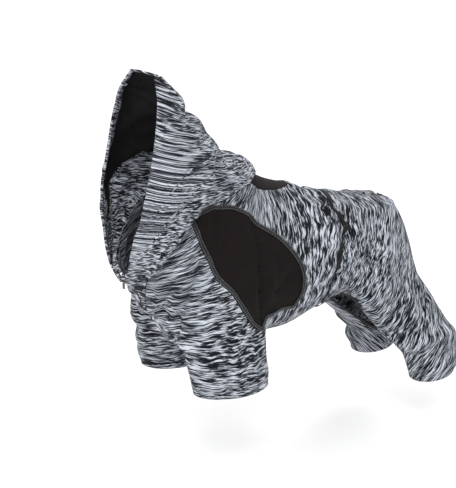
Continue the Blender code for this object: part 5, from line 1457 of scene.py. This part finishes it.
class HOODIE_OT_belly(bpy.types.Operator):
    """Heather strip under the belly and the chest gussets beside the zip"""
    bl_idname = "hoodie.belly"
    bl_label = "Belly and chest"

    def execute(self, context):
        cloth, tones = context.scene.hoodie_cloth, context.scene.hoodie_colours
        body_net(cloth.step)
        belly = body_cloth("belly_panel_cloth", ("belly_rear", "belly_front"), (-1, 1), cloth.wall)
        dressed(belly, material("heather", tones), "heather", "belly_panel", *SHEETS["belly_panel"])
        for side, tag in ((-1, "left"), (1, "right")):
            piece = body_cloth("chest_"+tag+"_cloth", ("chest",), (side,), cloth.wall)
            dressed(piece, material("heather", tones), "heather", "chest_"+tag, *SHEETS["chest"])
        return {"FINISHED"}


class HOODIE_OT_panels(bpy.types.Operator):
    """Black side panels behind the sleeves, with their overlocked bands and cover stitch"""
    bl_idname = "hoodie.panels"
    bl_label = "Side panels"

    def execute(self, context):
        cloth, tones = context.scene.hoodie_cloth, context.scene.hoodie_colours
        g = body_net(cloth.step)["side_panel"][0]
        edge, toward = rim(g)
        for side, tag in ((-1, "left"), (1, "right")):
            piece = body_cloth("side_panel_"+tag+"_cloth", ("side_panel",), (side,), cloth.wall)
            dressed(piece, material("black", tones), "black_jersey", "side_panel_"+tag, *SHEETS["side_panel"])
            trim, top, out = band("panel_trim_"+tag+"_band", edge, toward, -BAND_INSET, TRIM_WIDTH, 0.7*BAND_LIFT,
                                  TRIM_CLOTH, flip=-side)
            dressed(trim, material("band", tones), "trim", "panel_trim_"+tag, *SHEETS["panel_trim"])
            rows = [stitch_row(top[:, c], out[:, c], cloth.stitch_pitch*k) for c, k in ((1, 1.0), (5, 1.23))]
            p, along, n = (np.concatenate([r[i] for r in rows])*np.array([1, -side, 1]) for i in range(3))
            stitches("panel_stitches_"+tag, p, along, n, cloth.stitch_length, cloth.stitch_radius,
                     material("thread", tones))
        return {"FINISHED"}


class HOODIE_OT_sleeves(bpy.types.Operator):
    """Raglan front-leg tubes with their hem stitching"""
    bl_idname = "hoodie.sleeves"
    bl_label = "Sleeves"

    def execute(self, context):
        cloth, tones = context.scene.hoodie_cloth, context.scene.hoodie_colours
        body_net(cloth.step)
        for side, tag in ((-1, "left"), (1, "right")):
            piece = body_cloth("sleeve_"+tag+"_cloth", ("sleeve",), (side,), cloth.wall)
            dressed(piece, material("heather", tones), "heather", "sleeve_"+tag, *SHEETS["sleeve"])
            hem_stitches("sleeve_hem_"+tag, "sleeve", side, cloth, tones)
        return {"FINISHED"}


def hem_stitches(name, part, side, cloth, tones):
    """A row of small stitches round a leg, a hem's depth above its edge."""
    g, n, _ = on_side(part, side)
    up = max(1, int(round(cloth.hem_depth/cloth.step)))
    row, out = g[-1-up], n[-1-up]
    row = row+out*(relief(row)+0.00005)[..., None]
    p, along, out = stitch_row(row, out, cloth.stitch_pitch)
    stitches(name, p, along, out, LONG_STITCH*cloth.stitch_length, THIN_THREAD*cloth.stitch_radius,
             material("grey_thread", tones))


class HOODIE_OT_hind(bpy.types.Operator):
    """Hind pieces from the waist seam to the cuffs"""
    bl_idname = "hoodie.hind"
    bl_label = "Hind legs"

    def execute(self, context):
        cloth, tones = context.scene.hoodie_cloth, context.scene.hoodie_colours
        body_net(cloth.step)
        for side, tag in ((-1, "left"), (1, "right")):
            piece = body_cloth("hind_"+tag+"_cloth", ("hind",), (side,), cloth.wall)
            dressed(piece, material("heather", tones), "heather", "hind_"+tag, *SHEETS["hind"])
            hem_stitches("hind_hem_"+tag, "hind", side, cloth, tones)
        return {"FINISHED"}


class HOODIE_OT_bands(bpy.types.Operator):
    """Gathered waist seam, with a black strip over it that is painted shade of its fold, and the bound edges of
    the belly cut-out and the tail hole
    """
    bl_idname = "hoodie.bands"
    bl_label = "Waist and bindings"

    def execute(self, context):
        cloth, tones = context.scene.hoodie_cloth, context.scene.hoodie_colours
        b = body_net(cloth.step)["all"]
        flip = np.array([1, -1, 1])
        hind, belly = b["hind"], b["belly_rear"]
        line, inner = hind[0][::-1], hind[3][::-1]
        keep = slice(0, -3)
        line, inner = line[keep], inner[keep]
        line = np.concatenate([line[::-1], (line*flip)[1:]])
        inner = np.concatenate([inner[::-1], (inner*flip)[1:]])
        # black strip over the real waist seam: its darkness is painted shade of the gathered fold
        waist = self.open_band("waist_shade_band_cloth", line, inner, WAIST_SHADE_BAND_WIDTH, 1.2*BAND_LIFT)
        dressed(waist, material("band", tones), "trim", "waist_band", *SHEETS["waist_band"])
        k = b["counts"]
        rows = b["hind_split"]
        edge = np.concatenate([belly[-1, :k["hem"]], hind[:rows+1, 0]])
        toward = np.concatenate([belly[-4, :k["hem"]], hind[:rows+1, 3]])
        lift = 1.2+1.6*np.linspace(0, 1, len(edge))**3
        ring = self.whole_ring(edge, toward, lift, flip)
        cut, _, _ = band("cutout_binding_cloth", *ring[:2], -BAND_INSET, BINDING_WIDTH, BAND_LIFT*ring[2],
                         TRIM_CLOTH)
        dressed(cut, material("band", tones), "trim", "cutout_binding", *SHEETS["cutout_binding"])
        r0, r1 = b["tail_rows"]
        edge, toward = hind[r0:r1+1, -1], hind[r0:r1+1, -4]
        ring = self.whole_ring(edge, toward, np.full(len(edge), 1.6), flip)
        tail, _, _ = band("tail_binding_cloth", *ring[:2], -BAND_INSET, 0.8*BINDING_WIDTH, BAND_LIFT*ring[2],
                          TRIM_CLOTH)
        dressed(tail, material("band", tones), "trim", "tail_binding", *SHEETS["tail_binding"])
        return {"FINISHED"}

    def open_band(self, name, line, inner, width, lift):
        piece, _, _ = band(name, line, inner, -0.5*width, width, lift, TRIM_CLOTH, closed=False)
        return piece

    def whole_ring(self, edge, toward, lift, flip):
        """Both sides of an opening's edge and the lift at each place, with the first lift again at the end."""
        middle = np.array([1, 0, 1])
        line = np.concatenate([edge[:1]*middle, edge[1:-1], edge[-1:]*middle, (edge[1:-1]*flip)[::-1]])
        inner = np.concatenate([toward, (toward[1:-1]*flip)[::-1]])
        lift = np.concatenate([lift, lift[1:-1][::-1], lift[:1]])
        return line, inner, lift


class HOODIE_OT_hood(bpy.types.Operator):
    """Both halves of the hood with the turned hem round the face, the lining and the hem stitch"""
    bl_idname = "hoodie.hood"
    bl_label = "Hood"

    def execute(self, context):
        cloth, tones = context.scene.hoodie_cloth, context.scene.hoodie_colours
        rows, columns, turned = 84, 66, 8
        outer, inner, lining, lining_in = hood_pieces(rows, columns, turned)
        width = outer.shape[1]-turned-2
        for side, tag in ((-1, "left"), (1, "right")):
            flip = np.array([1, -side, 1])
            shift = np.array([0.23*(1+side), 0.11*(1+side), 0])
            piece = self.half("hood_"+tag+"_cloth", outer, inner, hood_grain(outer)+shift, flip, side)
            dressed(piece, material("heather", tones), "heather", "hood_"+tag, *SHEETS["hood"])
            piece = self.half("hood_lining_"+tag+"_cloth", lining, lining_in, hood_grain(lining)+shift, flip,
                              side)
            dressed(piece, material("lining", tones), "lining", "hood_lining_"+tag, *SHEETS["hood_lining"])
            hem = outer[3:, width-turned]*flip
            n = grid_normals(outer[:, :width+1])[3:, width-turned]*flip
            p, along, n = stitch_row(hem, n, cloth.stitch_pitch)
            stitches("hood_stitches_"+tag, p+n*STITCH_LIFT, along, n, LONG_STITCH*cloth.stitch_length,
                     THIN_THREAD*cloth.stitch_radius, material("grey_thread", tones))
        return {"FINISHED"}

    def half(self, name, outer, inner, grain, flip, side):
        o, i = outer.copy(), inner.copy()
        for v in (o, i):
            v[..., 1] = np.minimum(v[..., 1], -0.5*SEAM_GAP)
        return skin(name, [o*flip], [o*flip], [i*flip], [grain], [side > 0])


class HOODIE_OT_zip(bpy.types.Operator):
    """Zip on the chest: tapes, moulded teeth, slider and hanging pull"""
    bl_idname = "hoodie.zip"
    bl_label = "Zip"

    def execute(self, context):
        sizes, tones = context.scene.hoodie_zip, context.scene.hoodie_colours
        self.tapes(tones)
        self.teeth(sizes, tones)
        for node, key in (("zip_slider", "metal"), ("zip_pull", "metal")):
            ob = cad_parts[node]
            ob.data.materials.clear()
            ob.data.materials.append(material(key, tones))
        return {"FINISHED"}

    def tapes(self, tones):
        q = np.linspace(0.0015, zip_end(), 40)
        half = 0.5*ZIP_OPENING
        for side, tag in ((-1, "left"), (1, "right")):
            ys = side*np.linspace(half-TAPE_REACH, half-TAPE_INSET, 4)
            outer = np.stack([zip_point(q, y, np.full(len(q), 0.5*TAPE_THICK)) for y in ys], 1)
            inner = np.stack([zip_point(q, y, np.full(len(q), -0.5*TAPE_THICK)) for y in ys], 1)
            run = np.stack([arc(outer, 0), np.broadcast_to(np.abs(ys), outer.shape[:2]), 0*outer[..., 0]], -1)
            piece = skin("zip_tape_"+tag+"_cloth", [outer], [outer], [inner], [run], [side > 0])
            dressed(piece, material("band", tones), "trim", "zip_tape_"+tag, *SHEETS["zip_tape"])

    def teeth(self, sizes, tones):
        """One tooth, shaped once and copied down both sides of the chain."""
        bpy.ops.object.select_all(action="DESELECT")
        bpy.ops.mesh.primitive_cube_add(size=1, location=(0, 0, 0))
        tooth = bpy.context.object
        tooth.scale = (sizes.tooth_width, sizes.tooth_length, 0.9*TEETH_THICK)
        bpy.ops.object.transform_apply(location=False, rotation=False, scale=True)
        bpy.ops.object.mode_set(mode="EDIT")
        bpy.ops.mesh.select_all(action="DESELECT")
        mesh = bmesh.from_edit_mesh(tooth.data)
        for f in mesh.faces:
            f.select = f.normal.y > 0.9
        bmesh.update_edit_mesh(tooth.data)
        bpy.ops.mesh.inset(thickness=0.00018)
        bpy.ops.mesh.extrude_region_move(TRANSFORM_OT_translate={"value": (0, 0.0004, 0)})
        bpy.ops.object.mode_set(mode="OBJECT")
        m = tooth.modifiers.new("Rounding", "BEVEL")
        m.width, m.segments = 0.6*sizes.bevel, 1
        bpy.ops.object.modifier_apply(modifier=m.name)
        shape = np.array([v.co[:] for v in tooth.data.vertices])
        sides = [list(p.vertices) for p in tooth.data.polygons]
        bpy.data.objects.remove(tooth)
        verts, faces = [], []
        for side in (-1, 1):
            start = 0.0045+(0.5*sizes.pitch if side > 0 else 0)
            for q in np.arange(start, zip_end()-0.001, sizes.pitch):
                first = len(verts)
                x = zip_point(np.array(q), 0.0, np.array(0.0))
                ahead = zip_point(np.array(q+0.001), 0.0, np.array(0.0))
                behind = zip_point(np.array(q-0.001), 0.0, np.array(0.0))
                a = (ahead-behind)/np.linalg.norm(ahead-behind)
                o = np.array([a[2], 0, -a[0]])
                for v in shape:
                    y = side*(0.00105-v[1])
                    p = x+a*v[0]+o*v[2]-REST
                    verts.append((p[0], y, p[2]))
                faces += [[first+k for k in (reversed(f) if side < 0 else f)] for f in sides]
        mesh = bpy.data.meshes.new("zip_teeth_row")
        mesh.from_pydata(verts, [], faces)
        ob = bpy.data.objects.new("zip_teeth_row", mesh)
        bpy.context.scene.collection.objects.link(ob)
        bpy.ops.object.select_all(action="DESELECT")
        ob.select_set(True)
        bpy.context.view_layer.objects.active = ob
        bpy.ops.object.mode_set(mode="EDIT")
        bpy.ops.mesh.select_all(action="SELECT")
        bpy.ops.mesh.normals_make_consistent(inside=False)
        bpy.ops.object.mode_set(mode="OBJECT")
        ob.data.materials.append(material("plastic", tones))
        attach(ob, "suit")
        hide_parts("zip_teeth")


class HOODIE_OT_stage(bpy.types.Operator):
    """Pale floor, soft studio light and the camera"""
    bl_idname = "hoodie.stage"
    bl_label = "Stage"

    def execute(self, context):
        s = context.scene.hoodie_stage
        bpy.ops.object.select_all(action="DESELECT")
        bpy.ops.mesh.primitive_plane_add(size=12, location=(0, 0, s.floor))
        floor = bpy.context.object
        floor.name = "floor"
        m, _, shader = new_material("Pale floor")
        shader.inputs["Base Color"].default_value = (0.94, 0.94, 0.94, 1)
        shader.inputs["Roughness"].default_value = 0.9
        floor.data.materials.append(m)
        a, e = math.radians(s.azimuth), math.radians(s.elevation)
        back = Vector((math.sin(a)*math.cos(e), -math.cos(a)*math.cos(e), math.sin(e)))
        target = Vector((s.target_x, 0, s.target_z))
        camera = bpy.data.objects.new("camera", bpy.data.cameras.new("camera"))
        context.scene.collection.objects.link(camera)
        camera.location = target+back*s.distance
        camera.rotation_euler = (-back).to_track_quat("-Z", "Y").to_euler()
        camera.data.lens = s.lens
        context.scene.camera = camera
        world = context.scene.world or bpy.data.worlds.new("world")
        context.scene.world = world
        context.scene.view_settings.view_transform = "Standard"
        world.use_nodes = True
        world.node_tree.nodes["Background"].inputs["Color"].default_value = (1.0, 1.0, 1.0, 1)
        world.node_tree.nodes["Background"].inputs["Strength"].default_value = 1.02
        for name, place, power, size in (("key", (-1.4, -2.2, 2.2), 50, 1.2),
                                         ("front", (-2.6, -0.6, 0.9), 16, 1.2),
                                         ("rear", (2.2, 1.2, 2.0), 26, 1.4)):
            lamp = bpy.data.objects.new(name, bpy.data.lights.new(name, "AREA"))
            context.scene.collection.objects.link(lamp)
            lamp.location = place
            lamp.rotation_euler = (target-Vector(place)).to_track_quat("-Z", "Y").to_euler()
            lamp.data.energy = power
            lamp.data.size = size
        return {"FINISHED"}


class HOODIE_PT_sidebar(bpy.types.Panel):
    bl_idname = "HOODIE_PT_sidebar"
    bl_label = "Dog Hoodie"
    bl_space_type = "VIEW_3D"
    bl_region_type = "UI"
    bl_category = "Dog Hoodie"

    def draw(self, context):
        scene = context.scene
        for name, group in GROUPS:
            box = self.layout.box()
            for key in group.__annotations__:
                box.prop(getattr(scene, name), key)
        for step in STEPS:
            self.layout.operator(step.bl_idname)


GROUPS = (("hoodie_colours", HoodieColours), ("hoodie_cloth", HoodieCloth), ("hoodie_zip", HoodieZip),
          ("hoodie_stage", HoodieStage))
STEPS = (HOODIE_OT_back, HOODIE_OT_belly, HOODIE_OT_panels, HOODIE_OT_sleeves, HOODIE_OT_hind,
         HOODIE_OT_bands, HOODIE_OT_hood, HOODIE_OT_zip, HOODIE_OT_stage)


def register():
    for name, group in GROUPS:
        bpy.utils.register_class(group)
        setattr(bpy.types.Scene, name, bpy.props.PointerProperty(type=group))
    for c in STEPS:
        bpy.utils.register_class(c)
    bpy.utils.register_class(HOODIE_PT_sidebar)


def unregister():
    bpy.utils.unregister_class(HOODIE_PT_sidebar)
    for c in reversed(STEPS):
        bpy.utils.unregister_class(c)
    for name, group in reversed(GROUPS):
        delattr(bpy.types.Scene, name)
        bpy.utils.unregister_class(group)


def main():
    register()
    bpy.ops.hoodie.back()
    bpy.ops.hoodie.belly()
    bpy.ops.hoodie.panels()
    bpy.ops.hoodie.sleeves()
    bpy.ops.hoodie.hind()
    bpy.ops.hoodie.bands()
    bpy.ops.hoodie.hood()
    bpy.ops.hoodie.zip()
    bpy.ops.hoodie.stage()
    bpy.context.view_layer.update()


SEAMS = all_seams()
SEAMS_WAIST = SEAMS["waist"][::4]
FOLDS = fold_lines()
REST = cast([0, 0, -0.36*BODY_DEPTH], [0, 0, 1])*np.array([0, 0, 1])-np.array([0, 0, CLOTH])

if __name__ == "__main__":
    main()
